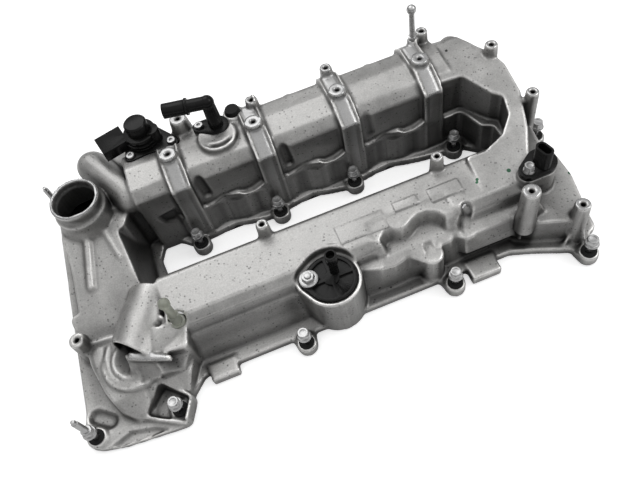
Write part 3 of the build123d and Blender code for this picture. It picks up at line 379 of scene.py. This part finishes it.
def neighbour_mean(spots, pairs, count):
    """Mean of the neighbours of each vertex: the sum over its edges divided by their number."""
    heads = np.concatenate([pairs[:, 0], pairs[:, 1]])
    tails = np.concatenate([pairs[:, 1], pairs[:, 0]])
    total = np.stack([np.bincount(heads, spots[tails, k], len(spots)) for k in range(spots.shape[1])], 1)
    return total / count[:, None]


def relax(spots, pairs, rounds, share):
    """Each round moves every vertex by its share of the way to the mean of its neighbours."""
    count = np.bincount(pairs.ravel(), minlength=len(spots)).clip(1)
    share = np.broadcast_to(np.asarray(share, float).reshape(-1, 1), (len(spots), 1))
    for _ in range(rounds):
        spots = spots + share * (neighbour_mean(spots, pairs, count) - spots)
    return spots


def merged_copy(thing, name):
    """A copy of a CAD node's mesh with its loose triangles joined, as a new object."""
    mesh = thing.data.copy()
    copy = bpy.data.objects.new(name, mesh)
    bpy.context.scene.collection.objects.link(copy)
    weld = copy.modifiers.new("weld", "WELD")
    weld.merge_threshold = 0.02 * MM
    return copy


def bake_modifiers(thing):
    """Replaces the object's mesh by the one its modifiers give, and drops them."""
    graph = bpy.context.evaluated_depsgraph_get()
    graph.update()
    made = bpy.data.meshes.new_from_object(thing.evaluated_get(graph))
    thing.modifiers.clear()
    thing.data = made


def remesh(thing, size):
    """Even quads of the given size over the closed surface."""
    step = thing.modifiers.new("remesh", "REMESH")
    step.mode = "VOXEL"
    step.voxel_size = size
    bake_modifiers(thing)


def local_millimetres(spots):
    """Row coordinates in metres to the measuring frame in millimetres."""
    return (spots - DATUM) / MM


def level_disc(local, centre, radius, below, slack):
    """True within a radius of an upright axis and within a slack of the level this far below its top."""
    reach = np.hypot(local[:, 0] - centre[0], local[:, 1] - centre[1])
    return (reach < radius) & (np.abs(local[:, 2] - centre[2] + below) < slack)


def between(value, low, high):
    """True between two limits."""
    return (value > low) & (value < high)


# Where a cutter has been, in millimetres; a boss ends one countersink above the place of its mount
COUNTERSINK = 1.0
BOSS_REACH = 12.0
NECK_REACH = 26.0
NECK_BORE_REACH = 22.0
NECK_LEDGE_BELOW = 7.0
BAND_PAD_HALF_WIDTH = 6.2
BAND_PAD_HALF_LENGTH = 37.5
BAND_PAD_MIDDLE_Y = 3
BAND_PAD_FOOT_Z = 87.5
BAND_PAD_SHARE = 0.8
HOOD_LIP_AHEAD = (43, 52)
HOOD_LIP_Z = 58.2
HOOD_RIGHT_X = -60
JOINT_FACE_TOP = 0.6


def machined_mask(spots):
    """
    1 on faces that a cutter has touched: boss tops, neck mouth and its ledge, hood lip and joint face, and
    less on the pads of the bands.
    """
    local = local_millimetres(spots)
    mask = np.zeros(len(spots))
    for name, mount in mounts.items():
        if mount["kind"] == "threaded_hole" and name != "left_boss":
            top = local_millimetres(np.array(mount["pos_m"]))
            mask = np.maximum(mask, level_disc(local, top, BOSS_REACH, below=-COUNTERSINK, slack=0.4))
    mouth = local_millimetres(np.array(mounts["filler_neck_mouth"]["pos_m"]))
    mask = np.maximum(mask, level_disc(local, mouth, NECK_REACH, below=0.0, slack=0.8))
    mask = np.maximum(mask, level_disc(local, mouth, NECK_BORE_REACH, below=NECK_LEDGE_BELOW, slack=0.9))
    for start in BAND_X:
        across = np.abs(local[:, 0] - start) < BAND_PAD_HALF_WIDTH
        lengthwise = np.abs(local[:, 1] - BAND_PAD_MIDDLE_Y) < BAND_PAD_HALF_LENGTH
        mask = np.maximum(mask, BAND_PAD_SHARE * (across & lengthwise & (local[:, 2] > BAND_PAD_FOOT_Z)))
    ahead = (local[:, :2] - HOOD_FOOT) @ HOOD_AHEAD
    lip = between(ahead, *HOOD_LIP_AHEAD) & (np.abs(local[:, 2] - HOOD_LIP_Z) < 0.9)
    lip &= local[:, 0] < HOOD_RIGHT_X
    joint_face = local[:, 2] < JOINT_FACE_TOP
    return np.maximum(np.maximum(mask, lip), joint_face)


def edge_mask(spots, normals, pairs):
    """Height in millimetres of each vertex over the mean around it: above 0 on edges, below in corners. The
    skin's colour takes painted highlights from it on edges and painted shade in corners.
    """
    around = relax(spots, pairs, 4, 1.0)
    return np.einsum("ij,ij->i", spots - around, normals) / MM


PLAN_CELL = 1.5 * MM


def plan_cells(spots, corner):
    """The square of the plan grid that holds each point."""
    return np.floor((spots[:, :2] - corner) / PLAN_CELL).astype(int)


def height_map(spots):
    """Highest point of the cover over each square of a plan grid; returns the map and its low corner."""
    corner = spots[:, :2].min(0) - 2 * PLAN_CELL
    cells = plan_cells(spots, corner)
    size = cells.max(0) + 3
    top = np.full(size, -1.0)
    np.maximum.at(top, (cells[:, 0], cells[:, 1]), spots[:, 2])
    return top, corner


# How the sky is looked for: lift off the skin, nearest and farthest step, and numbers of steps and rays
SKIN_LIFT = 0.6
SKY_NEAR = 2.5 * MM
SKY_REACH = 130 * MM
SKY_STEPS = 16
SKY_BEARINGS = 16
SKY_RISES = 7

# A horizon under this angle is level, and there the floor gives this share of the light of the sky, as
# painted bounce light
LEVEL_HORIZON = 0.03
FLOOR_SHARE = 0.45

# Skin that looks down, this far under the top of the cover, keeps only a share, as painted shade under
# overhangs
OVERHANG_DEPTH = 5 * MM
OVERHANG_SHARE = 0.3


def sky_mask(spots, normals):
    """
    Share of the sky that reaches each vertex, painted into the skin's colour as painted light and shade. For
    each compass direction the steepest rise of the height map within reach is the horizon. The sky above it
    is summed with the cosine to the vertex normal and divided by the same sum for an open level place. Where
    the horizon is level, the bright floor counts too, as painted bounce light. What looks down from under the
    cover gets a smaller share, as painted shade under overhangs.
    """
    top, corner = height_map(spots)
    start = spots + normals * SKIN_LIFT * MM
    angles = (np.arange(SKY_RISES) + 0.5) / SKY_RISES * math.pi / 2
    total = np.zeros(len(spots))
    level = 0.0
    for turn in range(SKY_BEARINGS):
        bearing = 2 * math.pi * (turn + 0.5) / SKY_BEARINGS
        way = np.array([math.cos(bearing), math.sin(bearing)])
        steepest = np.zeros(len(spots))
        for far in np.geomspace(SKY_NEAR, SKY_REACH, SKY_STEPS):
            cells = np.floor((start[:, :2] + way * far - corner) / PLAN_CELL).astype(int)
            cells = np.clip(cells, 0, np.array(top.shape) - 1)
            steepest = np.maximum(steepest, (top[cells[:, 0], cells[:, 1]] - start[:, 2]) / far)
        horizon = np.arctan(steepest)
        for rise in angles:
            ray = np.array([way[0] * math.cos(rise), way[1] * math.cos(rise), math.sin(rise)])
            weight = math.cos(rise)
            total += weight * np.maximum(normals @ ray, 0) * (rise > horizon)
            from_floor = np.maximum(normals @ (ray * (1, 1, -1)), 0) * (horizon < LEVEL_HORIZON)
            total += FLOOR_SHARE * weight * from_floor
            level += weight * ray[2]
    cells = plan_cells(spots, corner)
    overhang = (top[cells[:, 0], cells[:, 1]] - spots[:, 2] > OVERHANG_DEPTH) & (normals[:, 2] < -0.3)
    return np.clip(total / level, 0, 1) * np.where(overhang, OVERHANG_SHARE, 1.0)


# The least share of sky on the shelves of the slot, as painted light on them
SHELF_SKY = 0.78


def slot_shelf(local, normals):
    """True on the slot side of the rear arm where the skin looks up: its ledges and the flange's rim."""
    x, y, z = local.T
    looks_up = normals[:, 2] > 0.5
    return looks_up & between(x, -60, 300) & between(y, -48, -20) & between(z, 4, 62)


def eased(value):
    """Smoothstep of a value held between 0 and 1."""
    value = np.clip(value, 0, 1)
    return value * value * (3 - 2 * value)


def near(distance, reach, soft):
    """1 where a distance is short of the reach by the soft margin, easing to 0 at the reach."""
    return eased((reach - distance) / soft)


def along(u, v, path, closed=False):
    """Distance of plane points to a polyline."""
    path = np.array(path + path[:1] if closed else path, float)
    best = np.full(len(u), 1e9)
    for a, b in zip(path[:-1], path[1:]):
        way = b - a
        share = np.clip(((u - a[0]) * way[0] + (v - a[1]) * way[1]) / (way @ way), 0, 1)
        best = np.minimum(best, np.hypot(u - a[0] - share * way[0], v - a[1] - share * way[1]))
    return best


def beyond(u, v, outline):
    """Signed distance of plane points to a closed outline, negative inside it."""
    path = np.array(outline, float)
    inside = np.zeros(len(u), bool)
    for a, b in zip(path, np.roll(path, -1, axis=0)):
        if a[1] != b[1]:
            crossing = a[0] + (v - a[1]) / (b[1] - a[1]) * (b[0] - a[0])
            inside ^= ((a[1] > v) != (b[1] > v)) & (u < crossing)
    return along(u, v, outline, closed=True) * np.where(inside, -1, 1)


def profile(value, points):
    """Straight lines through points, each a place and the height there."""
    return np.interp(value, *np.array(points, float).T)


def within(value, low, high, soft):
    """1 between two limits, easing to 0 over a soft margin outside them."""
    return eased((value - low + soft) / soft) * eased((high + soft - value) / soft)


# Pieces that melt into the casting

def ring_solid(rings):
    """
    Closed mesh through rings of points given in the measuring frame: side face (i, j) joins points j and
    j + 1 of ring i to those of ring i + 1, and the first and last ring are filled.
    """
    rings = np.asarray(rings, float)
    rows, turns = rings.shape[:2]
    i, j = np.meshgrid(np.arange(rows - 1), np.arange(turns), indexing="ij")
    k = (j + 1) % turns
    corners = (i * turns + j, i * turns + k, (i + 1) * turns + k, (i + 1) * turns + j)
    sides = np.stack(corners, -1).reshape(-1, 4)
    ends = [list(range(turns))[::-1], list(range((rows - 1) * turns, rows * turns))]
    mesh = bpy.data.meshes.new("piece")
    mesh.from_pydata((rings.reshape(-1, 3) * MM + DATUM).tolist(), [], sides.tolist() + ends)
    return mesh


def join_into(thing, pieces):
    """Adds closed meshes to an object's mesh; the next remesh melts them together."""
    build = bmesh.new()
    build.from_mesh(thing.data)
    for piece in pieces:
        build.from_mesh(piece)
    build.to_mesh(thing.data)
    build.free()


# The hood's axis in plan: its foot and the directions ahead and to its right
HOOD_FOOT = np.array([-70.0, -124.0])
HOOD_AHEAD = np.array([-0.4542, -0.8909])
HOOD_SIDE = np.array([0.8909, -0.4542])


def by_hood(side, ahead, z):
    """Points given by their distance to the right of the hood's axis, along it, and their height."""
    given = [np.asarray(value, float) for value in (side, ahead, z)]
    side, ahead, z = np.broadcast_arrays(*given)
    plan = HOOD_FOOT + side[..., None] * HOOD_SIDE + ahead[..., None] * HOOD_AHEAD
    return np.concatenate([plan, z[..., None]], -1)


def full_turn(count):
    """Angles spaced evenly once round."""
    return np.linspace(0, 2 * math.pi, count, endpoint=False)


NECK_RIM = [(21.0, -7.0), (21.0, 0.0), (24.6, 0.0), (24.8, -4.5), (23.4, -7.0)]


def neck_rim():
    """The thick rim of the filler neck: its profile (r, z) turned about the neck's axis, z from its mouth."""
    x, y, top = local_millimetres(np.array(mounts["filler_neck_mouth"]["pos_m"]))
    turn = full_turn(96)
    section = [[x + r * math.cos(t), y + r * math.sin(t), top + z] for t in turn for r, z in NECK_RIM]
    rows, sides = len(turn), len(NECK_RIM)
    i, j = np.meshgrid(np.arange(rows), np.arange(sides), indexing="ij")
    k, m = (i + 1) % rows, (j + 1) % sides
    faces = np.stack([i * sides + j, k * sides + j, k * sides + m, i * sides + m], -1).reshape(-1, 4)
    mesh = bpy.data.meshes.new("piece")
    mesh.from_pydata((np.array(section) * MM + DATUM).tolist(), [], faces[:, ::-1].tolist())
    return mesh


# The hood is a pipe about its axis, set a little to the left, with its foot sunk into the arm behind it
HOOD_OUTER_RADIUS = 25.5
HOOD_INNER_RADIUS = 22.0
HOOD_AXIS_Z = 42.5
HOOD_LEFT_SET = 1.5
HOOD_FOOT_SUNK = 1.6
HOOD_MOUTH_AHEAD = 42.5
HOOD_MOUTH_SKEW = 0.3


def hood_arch():
    """A pipe wall open below, from the foot of the hood to its mouth, which is cut askew."""
    angle = np.radians(np.linspace(-14, 194, 49))
    back = angle[::-1]
    outer, inner = HOOD_OUTER_RADIUS, HOOD_INNER_RADIUS
    side = np.concatenate([outer * np.cos(angle), inner * np.cos(back)]) - HOOD_LEFT_SET
    high = HOOD_AXIS_Z + np.concatenate([outer * np.sin(angle), inner * np.sin(back)])
    foot = by_hood(side, -4.0, high - HOOD_FOOT_SUNK)
    middle = by_hood(side, 16.0, high)
    mouth = by_hood(side, HOOD_MOUTH_AHEAD + HOOD_MOUTH_SKEW * side, high)
    return ring_solid([foot, middle, mouth])


def hood_lip():
    """A flat lip across the mouth of the hood that thins out to the right."""
    ahead = np.array([43.5, 43.5, 51.0, 51.5, 51.5, 46.0])
    thin = np.array([44.5, 44.5, 49.0, 49.5, 49.5, 46.0])
    high = np.array([51.5, 58.5, 58.5, 57.8, 52.0, 50.5])
    return ring_solid([by_hood(-2.0, ahead, high), by_hood(12.0, ahead, high), by_hood(39.0, thin, high)])


def hood_wall():
    """The wall that slopes down in front of the lip, drawn in towards the lip at both ends."""
    back = 45.0
    ahead = np.array([back, back, 49.0, 53.0, 60.0, 62.0, back])
    high = np.array([12.0, 55.0, 55.0, 42.0, 34.0, 12.0, 12.0])
    shrink = [(-7.0, 0.72), (-2.0, 1.0), (14.0, 1.0), (24.0, 0.9)]
    return ring_solid([by_hood(side, back + (ahead - back) * share, high) for side, share in shrink])


PORT_X = -97
PORT_Y = -158
PORT_RADIUS = 19.8


def port_bowl():
    """A round block over the port in front of the hood, hollowed to z = 30 + 5 (r / 19)^2."""
    turn = full_turn(48)
    block = [(PORT_RADIUS, 8.0), (PORT_RADIUS, 35.0)]
    hollow = [(r, 30 + 5 * (r / 19) ** 2) for r in (17.0, 13.0, 8.0, 3.0)]
    rings = []
    for radius, z in block + hollow:
        x = PORT_X + radius * np.cos(turn)
        y = PORT_Y + radius * np.sin(turn)
        rings.append(np.stack([x, y, np.full(len(turn), z)], -1))
    return ring_solid(rings)


SHOULDER_EDGE = [
    (-66, -150, 62), (-69, -164, 59), (-73, -178, 54), (-72, -186, 38), (-54, -186, 30), (-42, -176, 44),
    (-41, -152, 60),
]
SHOULDER_FOOT_Z = 12
SHOULDER_PEAK = (-58.5, -170.0, 57.0)


def hood_shoulder():
    """The shoulder that slopes from the stud down to the bolt bay, from its foot by its edge to a crown."""
    edge = np.array(SHOULDER_EDGE, float)
    foot = edge * [1, 1, 0] + [0, 0, SHOULDER_FOOT_Z]
    crown = 0.35 * edge + 0.65 * np.array(SHOULDER_PEAK)
    return ring_solid([foot, edge, crown])


# Shaping of the skin, in millimetres of the measuring frame. Outlines and paths are seen from above unless
# said otherwise. A span along an axis is its low end, its high end and the soft margin outside them.

SCOOP = [
    (160, -152), (166, -147), (171, -146.5), (176, -149.5), (182, -151.5), (188, -150), (195, -145.5),
    (202, -143), (210, -143.5), (218, -148), (222.5, -154), (222.5, -162), (219, -171), (205, -178),
    (190, -178), (178, -172), (163, -173), (160, -162),
]
SHELF_EDGE = [
    (131, -166), (138, -169), (150, -173), (164, -174.4), (173, -172.5), (178.6, -170.5), (184.8, -176.8),
    (188.2, -181), (194.7, -184.6), (203.4, -180), (213.4, -172.5), (222.2, -172), (228, -168),
]

# The front arm in section: the crest and, further on, the trough's floor give a height for each y
FRONT_CREST = [(-176, 44), (-168, 44), (-165, 44.5), (-162, 50.5), (-157, 58.5), (-152, 62), (-101, 66)]
SCOOP_FLOOR_Z = 46.5
SCOOP_X = (153, 232, 3)
SCOOP_Y = (-167, -134, 3)
ARM_WALL = 3.6
SHELF_FACE_Y = -176
SHELF_FOOT_Z = 9
SHELF_RISE = 35.5
SHELF_X = (128, 230, 4)
SHELF_Z = (8, 45.2, 1)
TROUGH_PATH = [(246.5, -154), (241, -167), (238.5, -176)]
TROUGH_FLOOR = [(-176, 36), (-154, 50)]
RIGHT_SHELF_DEPTH = 8.5
RIGHT_SHELF_X = (236, 290, 8)
RIGHT_SHELF_Y = (-179, -163, 2)
RIGHT_SHELF_Z = (20, 42.5, 1.5)


def shape_front_arm(spots, normals):
    """
    The scoop and shelf of the front arm. Inside the scoop outline the skin sinks to the scoop floor. The
    wall below it leans out to the wavy shelf edge. Both the outer and the inner skin keep the wall between.
    To the right of them a trough runs down the face, and a second shelf stands out.
    """
    x, y, z = spots.T
    crest = profile(y, FRONT_CREST)
    sunk = near(beyond(x, y, SCOOP), reach=2.5, soft=6.0)
    target = crest + (np.minimum(crest, SCOOP_FLOOR_Z) - crest) * sunk
    region = within(x, *SCOOP_X) * within(y, *SCOOP_Y)
    outer = (normals[:, 2] > -0.25) & between(z, 44, 70)
    z[:] = np.where(outer, z + (target - z) * region, z)
    inner = (normals[:, 2] < 0.25) & between(z, 25, 66) & ~outer
    z[:] = np.where(inner & (region > 0.5), np.minimum(z, target - ARM_WALL), z)

    rise = np.clip((z - SHELF_FOOT_Z) / SHELF_RISE, 0, 1)
    wall = SHELF_FACE_Y + (profile(x, SHELF_EDGE) - SHELF_FACE_Y) * rise**0.7
    faces_front = normals[:, 1] < -0.4
    gate = within(x, *SHELF_X) * faces_front * within(z, *SHELF_Z) * between(y, -180, -158)
    y[:] = y + np.minimum(wall - y, 0) * gate

    trough = near(along(x, y, TROUGH_PATH), reach=5.6, soft=3.0)
    drop = np.clip(profile(y, TROUGH_FLOOR) - z, -20, 5)
    z[:] = np.where(normals[:, 2] > -0.2, z + drop * trough * (z > 34), z)

    shelf = within(x, *RIGHT_SHELF_X) * faces_front * within(z, *RIGHT_SHELF_Z) * (y > -182)
    y[:] = y - RIGHT_SHELF_DEPTH * shelf * within(y, *RIGHT_SHELF_Y)


# The bays between the bands, seen from the front: across from the left band, and rise or height
BAY_LEDGE = [(11, 4), (16, 0.5), (25, 2.5), (33, 5.5), (50, 5.5), (58, 0.5), (66, 1), (75, 5), (80, 8)]
BAY_GROOVE = [(18.5, 84), (20.5, 62)]
LEDGE_SPAN = (11.5, 78.5, 1.5)
LEDGE_Y = (-46, -20, 2)
LEDGE_Z = (40, 56, 10)
GROOVE_DEPTHS = (4.2, 4.2, 2.0)
GROOVE_Y = (-40, -16, 3)
SWELLING = 1.8
SWELLING_SPAN = (12, 78, 2)
SWELLING_Y = (-42, -24, 2)
SWELLING_Z = (14, 42, 6)

# The pocket left of the bands, seen from the front
LEFT_POCKET = [(-36, 56), (-15, 59), (-14, 45), (-22, 41), (-31, 43)]
LEFT_POCKET_DEPTH = 3.0
LEFT_POCKET_Y = (-34, -18, 3)

# The bands: spans of their rails, seams and ribs by the distance from the middle of the band
BAND_CREST_Z = 84
RAIL_HEIGHT = 1.3
RAIL_SPAN = (8.8, 10.6, 0.8)
RAIL_Y = (-38, 42, 2)
SEAM_DEPTH = 1.6
SEAM_SPAN = (6.6, 7.8, 0.5)
SEAM_Y = (-34, 42, 1)
BOSS_HALF_Y = 10
RIB_HEIGHT = 0.9
RIB_SPAN = (8.4, 10.6, 0.8)
RIB_Y = (-46, -28, 2)
RIB_Z = (14, 88, 2)


def shape_rear_arm(spots, normals):
    """
    The front walls of the rear arm between its bands: each bay has a wavy ledge that climbs to the next
    band, an upright groove beside its left band and a shallow swelling of the wall under the ledge. Left of
    the bands there is a pocket. Each band has raised rails, a sunk seam inside them and ribs down its front.
    """
    x, y, z = spots.T
    faces_front = normals[:, 1] < -0.4
    looks_up = normals[:, 2] > 0.3
    for start, depth in zip(BAND_X, GROOVE_DEPTHS):
        bay = x - start
        region = within(bay, *LEDGE_SPAN) * within(y, *LEDGE_Y) * within(z, *LEDGE_Z)
        z[:] = z + region * profile(bay, BAY_LEDGE)
        groove = near(along(bay, z, BAY_GROOVE), reach=6.5, soft=4.5)
        y[:] = y + depth * groove * within(y, *GROOVE_Y)
        waves = np.sin(np.clip((bay - 14) / 62, 0, 1) * 3 * math.pi)
        swell = SWELLING * waves * within(z, *SWELLING_Z)
        y[:] = y + swell * within(bay, *SWELLING_SPAN) * faces_front * within(y, *SWELLING_Y)
    pocket = near(beyond(x, z, LEFT_POCKET), reach=2.0, soft=5)
    y[:] = y + LEFT_POCKET_DEPTH * pocket * within(y, *LEFT_POCKET_Y)
    for start in BAND_X:
        side = np.abs(x - start)
        rail = within(side, *RAIL_SPAN) * looks_up * (z > BAND_CREST_Z) * within(y, *RAIL_Y)
        z[:] = z + RAIL_HEIGHT * rail
        seam = within(side, *SEAM_SPAN) * looks_up * (z > BAND_CREST_Z) * within(y, *SEAM_Y)
        z[:] = z - SEAM_DEPTH * seam * (np.abs(y) > BOSS_HALF_Y)
        rib = within(side, *RIB_SPAN) * (normals[:, 1] < -0.5)
        y[:] = y - RIB_HEIGHT * (rib * within(z, *RIB_Z) * within(y, *RIB_Y))


# Ridges of the left end between two heights: path in plan, half width and height
LEFT_FACE_Z = (14, 90)
LEFT_RIDGES = [
    ([(-104, -28), (-115.5, -78)], 6.0, 4.6),
    ([(-131, -30), (-139, -68)], 4.5, -2.4),
    ([(-134, -127), (-109, -129)], 3.2, 3.0),
    ([(-88, -27), (-80, -60)], 4.0, 2.0),
]

# The pad round the port in front of the hood
PORT_Z = (6, 46)
PORT_PAD = [
    (-134.6, -132), (-135, -141), (-133.8, -156), (-131, -172), (-126, -188), (-118.5, -200), (-108, -209),
    (-92, -214), (-92, -170), (-100, -140), (-110, -130),
]
PORT_PAD_HEIGHT = 2.2

# Grooves round the port: path in plan and depth
OUTER_GROOVE = [
    (-122, -135), (-124.4, -146), (-124.1, -158.6), (-121.3, -170), (-114.7, -179.5), (-107, -183.5),
]
INNER_GROOVE = [(-115, -136.6), (-117.7, -148), (-118.9, -158), (-117, -166), (-112, -172.7)]
PORT_GROOVES = [(OUTER_GROOVE, 0.9), (INNER_GROOVE, 1.2)]

# The hollow and the dish at the front left corner
CORNER_HOLLOW = [(-141.4, -221), (-120, -214), (-98, -219), (-86, -225.5), (-110, -225), (-133, -223)]
CORNER_HOLLOW_DEPTH = 4.2
CORNER_DISH = [(-149, -187), (-137, -196)]
CORNER_DISH_DEPTH = 5.0


def shape_left_end(spots, normals):
    """Ridges of the sloping left face, the pad and grooves round the port, and two hollows at the corner."""
    x, y, z = spots.T
    up = normals[:, 2] > 0.35
    for path, width, height in LEFT_RIDGES:
        ridge = near(along(x, y, path), reach=width, soft=width * 0.8)
        z[:] = z + height * ridge * up * between(z, *LEFT_FACE_Z)
    low = up & between(z, *PORT_Z) & (x < HOOD_RIGHT_X)
    z[:] = z + PORT_PAD_HEIGHT * near(beyond(x, y, PORT_PAD), reach=1.0, soft=3) * low
    for path, depth in PORT_GROOVES:
        z[:] = z - depth * near(along(x, y, path), reach=2.2, soft=1.6) * low
    hollow = near(beyond(x, y, CORNER_HOLLOW), reach=1.5, soft=2.5)
    z[:] = z - CORNER_HOLLOW_DEPTH * hollow * between(z, 5, 30) * up
    dish = near(along(x, y, CORNER_DISH), reach=9, soft=5)
    z[:] = z - CORNER_DISH_DEPTH * dish * between(z, 9, 30) * up


# Plates on the crest of the front arm: left, right, front and rear side, and height
PLATES = [
    (123.5, 171.5, -143.3, -124.0, 0.7),
    (183.2, 208.0, -132.6, -122.2, 1.1),
    (219.4, 251.8, -137.2, -122.4, 1.1),
]
CREST_FOOT_Z = 50


def past_plate(x, y, left, right, front, rear):
    """Distance outside the sides of a plate, negative on it."""
    return np.maximum(np.maximum(left - x, x - right), np.maximum(front - y, y - rear))


def shape_plates(spots, normals):
    """Three plates raised on the crest of the front arm."""
    x, y, z = spots.T
    for left, right, front, rear, height in PLATES:
        out = past_plate(x, y, left, right, front, rear)
        raised = near(out, reach=0.6, soft=1.4) * (normals[:, 2] > 0.5) * (z > CREST_FOOT_Z)
        z[:] = z + height * raised


def plate_line(spots):
    """True on the narrow shadow line at the left and front sides of each plate."""
    x, y, z = spots.T
    line = np.zeros(len(x), bool)
    for left, right, front, rear, _ in PLATES:
        out = past_plate(x, y, left, right, front, rear)
        shaded_side = (x < left + 1) | (y < front + 1)
        line |= between(out, -0.4, 1.1) & shaded_side & (z > CREST_FOOT_Z)
    return line


# The first remesh is coarser than the last. Each easing round moves the skin by a share, and the plates
# get one light round and a painted shadow line as dark as the painted shade of a corner.
COARSER = 1.15
SKIN_EASING = 0.6
PLATE_EASING = 0.25
PLATE_LINE_EDGE = -0.3


def cast_skin():
    """The casting with the shapes and rounded edges of a die casting, its machined faces kept sharp."""
    skin = merged_copy(frame["nodes"]["casting"], "casting_skin")
    bake_modifiers(skin)
    join_into(skin, [hood_arch(), hood_lip(), hood_wall(), port_bowl(), hood_shoulder(), neck_rim()])
    remesh(skin, VOXEL * COARSER)
    for shape in (shape_front_arm, shape_rear_arm, shape_left_end):
        local = local_millimetres(points_of(skin.data))
        shape(local, normals_of(skin.data))
        move_points(skin.data, local * MM + DATUM)
    remesh(skin, VOXEL)
    spots = points_of(skin.data)
    pairs = edges_of(skin.data)
    rounds = int(2 * (FINE_VOXEL / VOXEL) ** 2) + 1
    spots = relax(spots, pairs, rounds, SKIN_EASING * (1 - machined_mask(spots)))
    move_points(skin.data, spots)
    edge = edge_mask(spots, normals_of(skin.data), pairs)
    local = local_millimetres(spots)
    shape_plates(local, normals_of(skin.data))
    move_points(skin.data, relax(local * MM + DATUM, pairs, 1, PLATE_EASING))
    # The plates' painted shadow line goes into the edge mask, which paints highlights on edges and shade in
    # corners
    put_mask(skin.data, "edge", np.where(plate_line(local), PLATE_LINE_EDGE, edge))
    thin = skin.modifiers.new("thin", "DECIMATE")
    thin.ratio = min(1.0, SKIN_TRIANGLES / (2.0 * len(skin.data.polygons)))
    bake_modifiers(skin)
    mesh = skin.data
    spots = points_of(mesh)
    normals = normals_of(mesh)
    # The sky mask paints light and shade into the skin's colour: painted shade where little sky reaches
    sky = sky_mask(spots, normals)
    # painted light: the slot's shelves are lifted to the least sky share
    sky = np.where(slot_shelf(local_millimetres(spots), normals), np.maximum(sky, SHELF_SKY), sky)
    sky = relax(sky[:, None], edges_of(mesh), 2, 0.5)[:, 0]
    put_mask(mesh, "machined", machined_mask(spots))
    put_mask(mesh, "sky", sky)
    mesh.shade_smooth()
    mesh.materials.clear()
    mesh.materials.append(MATERIALS["cast_aluminium"])
    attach(skin, "cover")
    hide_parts("casting")


# Fittings

def round_edges(thing):
    """Crisp but not razor edges on a fitting."""
    weld = thing.modifiers.new("weld", "WELD")
    weld.merge_threshold = 0.01 * MM
    round_off = thing.modifiers.new("edge", "BEVEL")
    round_off.width = 0.35 * MM
    round_off.segments = 2
    round_off.limit_method = "ANGLE"
    round_off.angle_limit = math.radians(35)
    round_off.harden_normals = True
    thing.data.shade_smooth()


cast_skin()
for name, thing in frame["nodes"].items():
    if name != "casting":
        round_edges(thing)


# Studio

def floor():
    """A pale floor that keeps the shadow of the cover and reads white to the camera and to transmission rays.
    """
    low = cad_low[2]
    half = 6.0
    corners = [(-half, -half, low), (half, -half, low), (half, half, low), (-half, half, low)]
    mesh = bpy.data.meshes.new("floor")
    mesh.from_pydata(corners, [], [(0, 1, 2, 3)])
    made = bpy.data.objects.new("floor", mesh)
    bpy.context.scene.collection.objects.link(made)
    paint, tree, shader = material("pale_floor")
    shader.inputs["Base Color"].default_value = (0.88, 0.88, 0.88, 1.0)
    shader.inputs["Roughness"].default_value = 0.9
    shader.inputs["Specular IOR Level"].default_value = 0.0
    shader.inputs["Emission Color"].default_value = WHITE
    path = tree.nodes.new("ShaderNodeLightPath").outputs
    seen = maths(tree, "ADD", path["Is Camera Ray"], path["Is Transmission Ray"], clamp=True)
    tree.links.new(maths(tree, "MULTIPLY", seen, 0.55), shader.inputs["Emission Strength"])
    mesh.materials.append(paint)


def room():
    """A soft grey room, brighter overhead than at the sides."""
    world = bpy.data.worlds.new("room")
    bpy.context.scene.world = world
    world.use_nodes = True
    tree = world.node_tree
    tree.nodes.clear()
    way = tree.nodes.new("ShaderNodeTexCoord").outputs["Generated"]
    rise = add(tree, "ShaderNodeSeparateXYZ", Vector=way).outputs[2]
    strength = ramp(tree, rise, 0.0, 1.0, 0.18, 0.75)
    light = add(tree, "ShaderNodeBackground", Color=WHITE, Strength=strength)
    out = tree.nodes.new("ShaderNodeOutputWorld")
    tree.links.new(light.outputs[0], out.inputs[0])


def softbox(name, spot, aim, size, energy):
    """A square area lamp turned to its aim."""
    lamp = bpy.data.lights.new(name, "AREA")
    lamp.shape = "SQUARE"
    lamp.size = size
    lamp.energy = energy
    made = bpy.data.objects.new(name, lamp)
    bpy.context.scene.collection.objects.link(made)
    made.location = Vector(spot)
    made.rotation_mode = "QUATERNION"
    made.rotation_quaternion = (Vector(aim) - Vector(spot)).to_track_quat("-Z", "Y")


# The camera fitted to the photograph: turn, tip and roll in degrees, place in the measuring frame
CAMERA_ANGLES = (6.9, 57.1, 15.7)
CAMERA_SPOT = (67.51, -455.35, 570.53)


def photo_camera():
    """Camera at the photograph's place: turned about Z, tipped down and rolled."""
    turn, tip, roll = (math.radians(angle) for angle in CAMERA_ANGLES)
    ahead = Vector((math.sin(turn) * math.cos(tip), math.cos(turn) * math.cos(tip), -math.sin(tip)))
    right = Vector((math.cos(turn), -math.sin(turn), 0.0))
    down = ahead.cross(right)
    across = math.cos(roll) * right + math.sin(roll) * down
    up = math.sin(roll) * right - math.cos(roll) * down
    lens = bpy.data.cameras.new("camera")
    lens.lens = 36.0
    lens.sensor_width = 36.0
    made = bpy.data.objects.new("camera", lens)
    bpy.context.scene.collection.objects.link(made)
    spot = place(*CAMERA_SPOT)
    made.matrix_world = Matrix(
        [
            [across.x, up.x, -ahead.x, spot[0]],
            [across.y, up.y, -ahead.y, spot[1]],
            [across.z, up.z, -ahead.z, spot[2]],
            [0.0, 0.0, 0.0, 1.0],
        ]
    )
    bpy.context.scene.camera = made


floor()
room()
middle = (0.0, 0.0, 0.05)
softbox("key", (-0.15, 0.8, 1.3), middle, size=1.1, energy=5.6)
softbox("fill", (1.2, -0.3, 1.1), middle, size=0.8, energy=5.0)
photo_camera()
bpy.context.scene.view_settings.view_transform = "Standard"
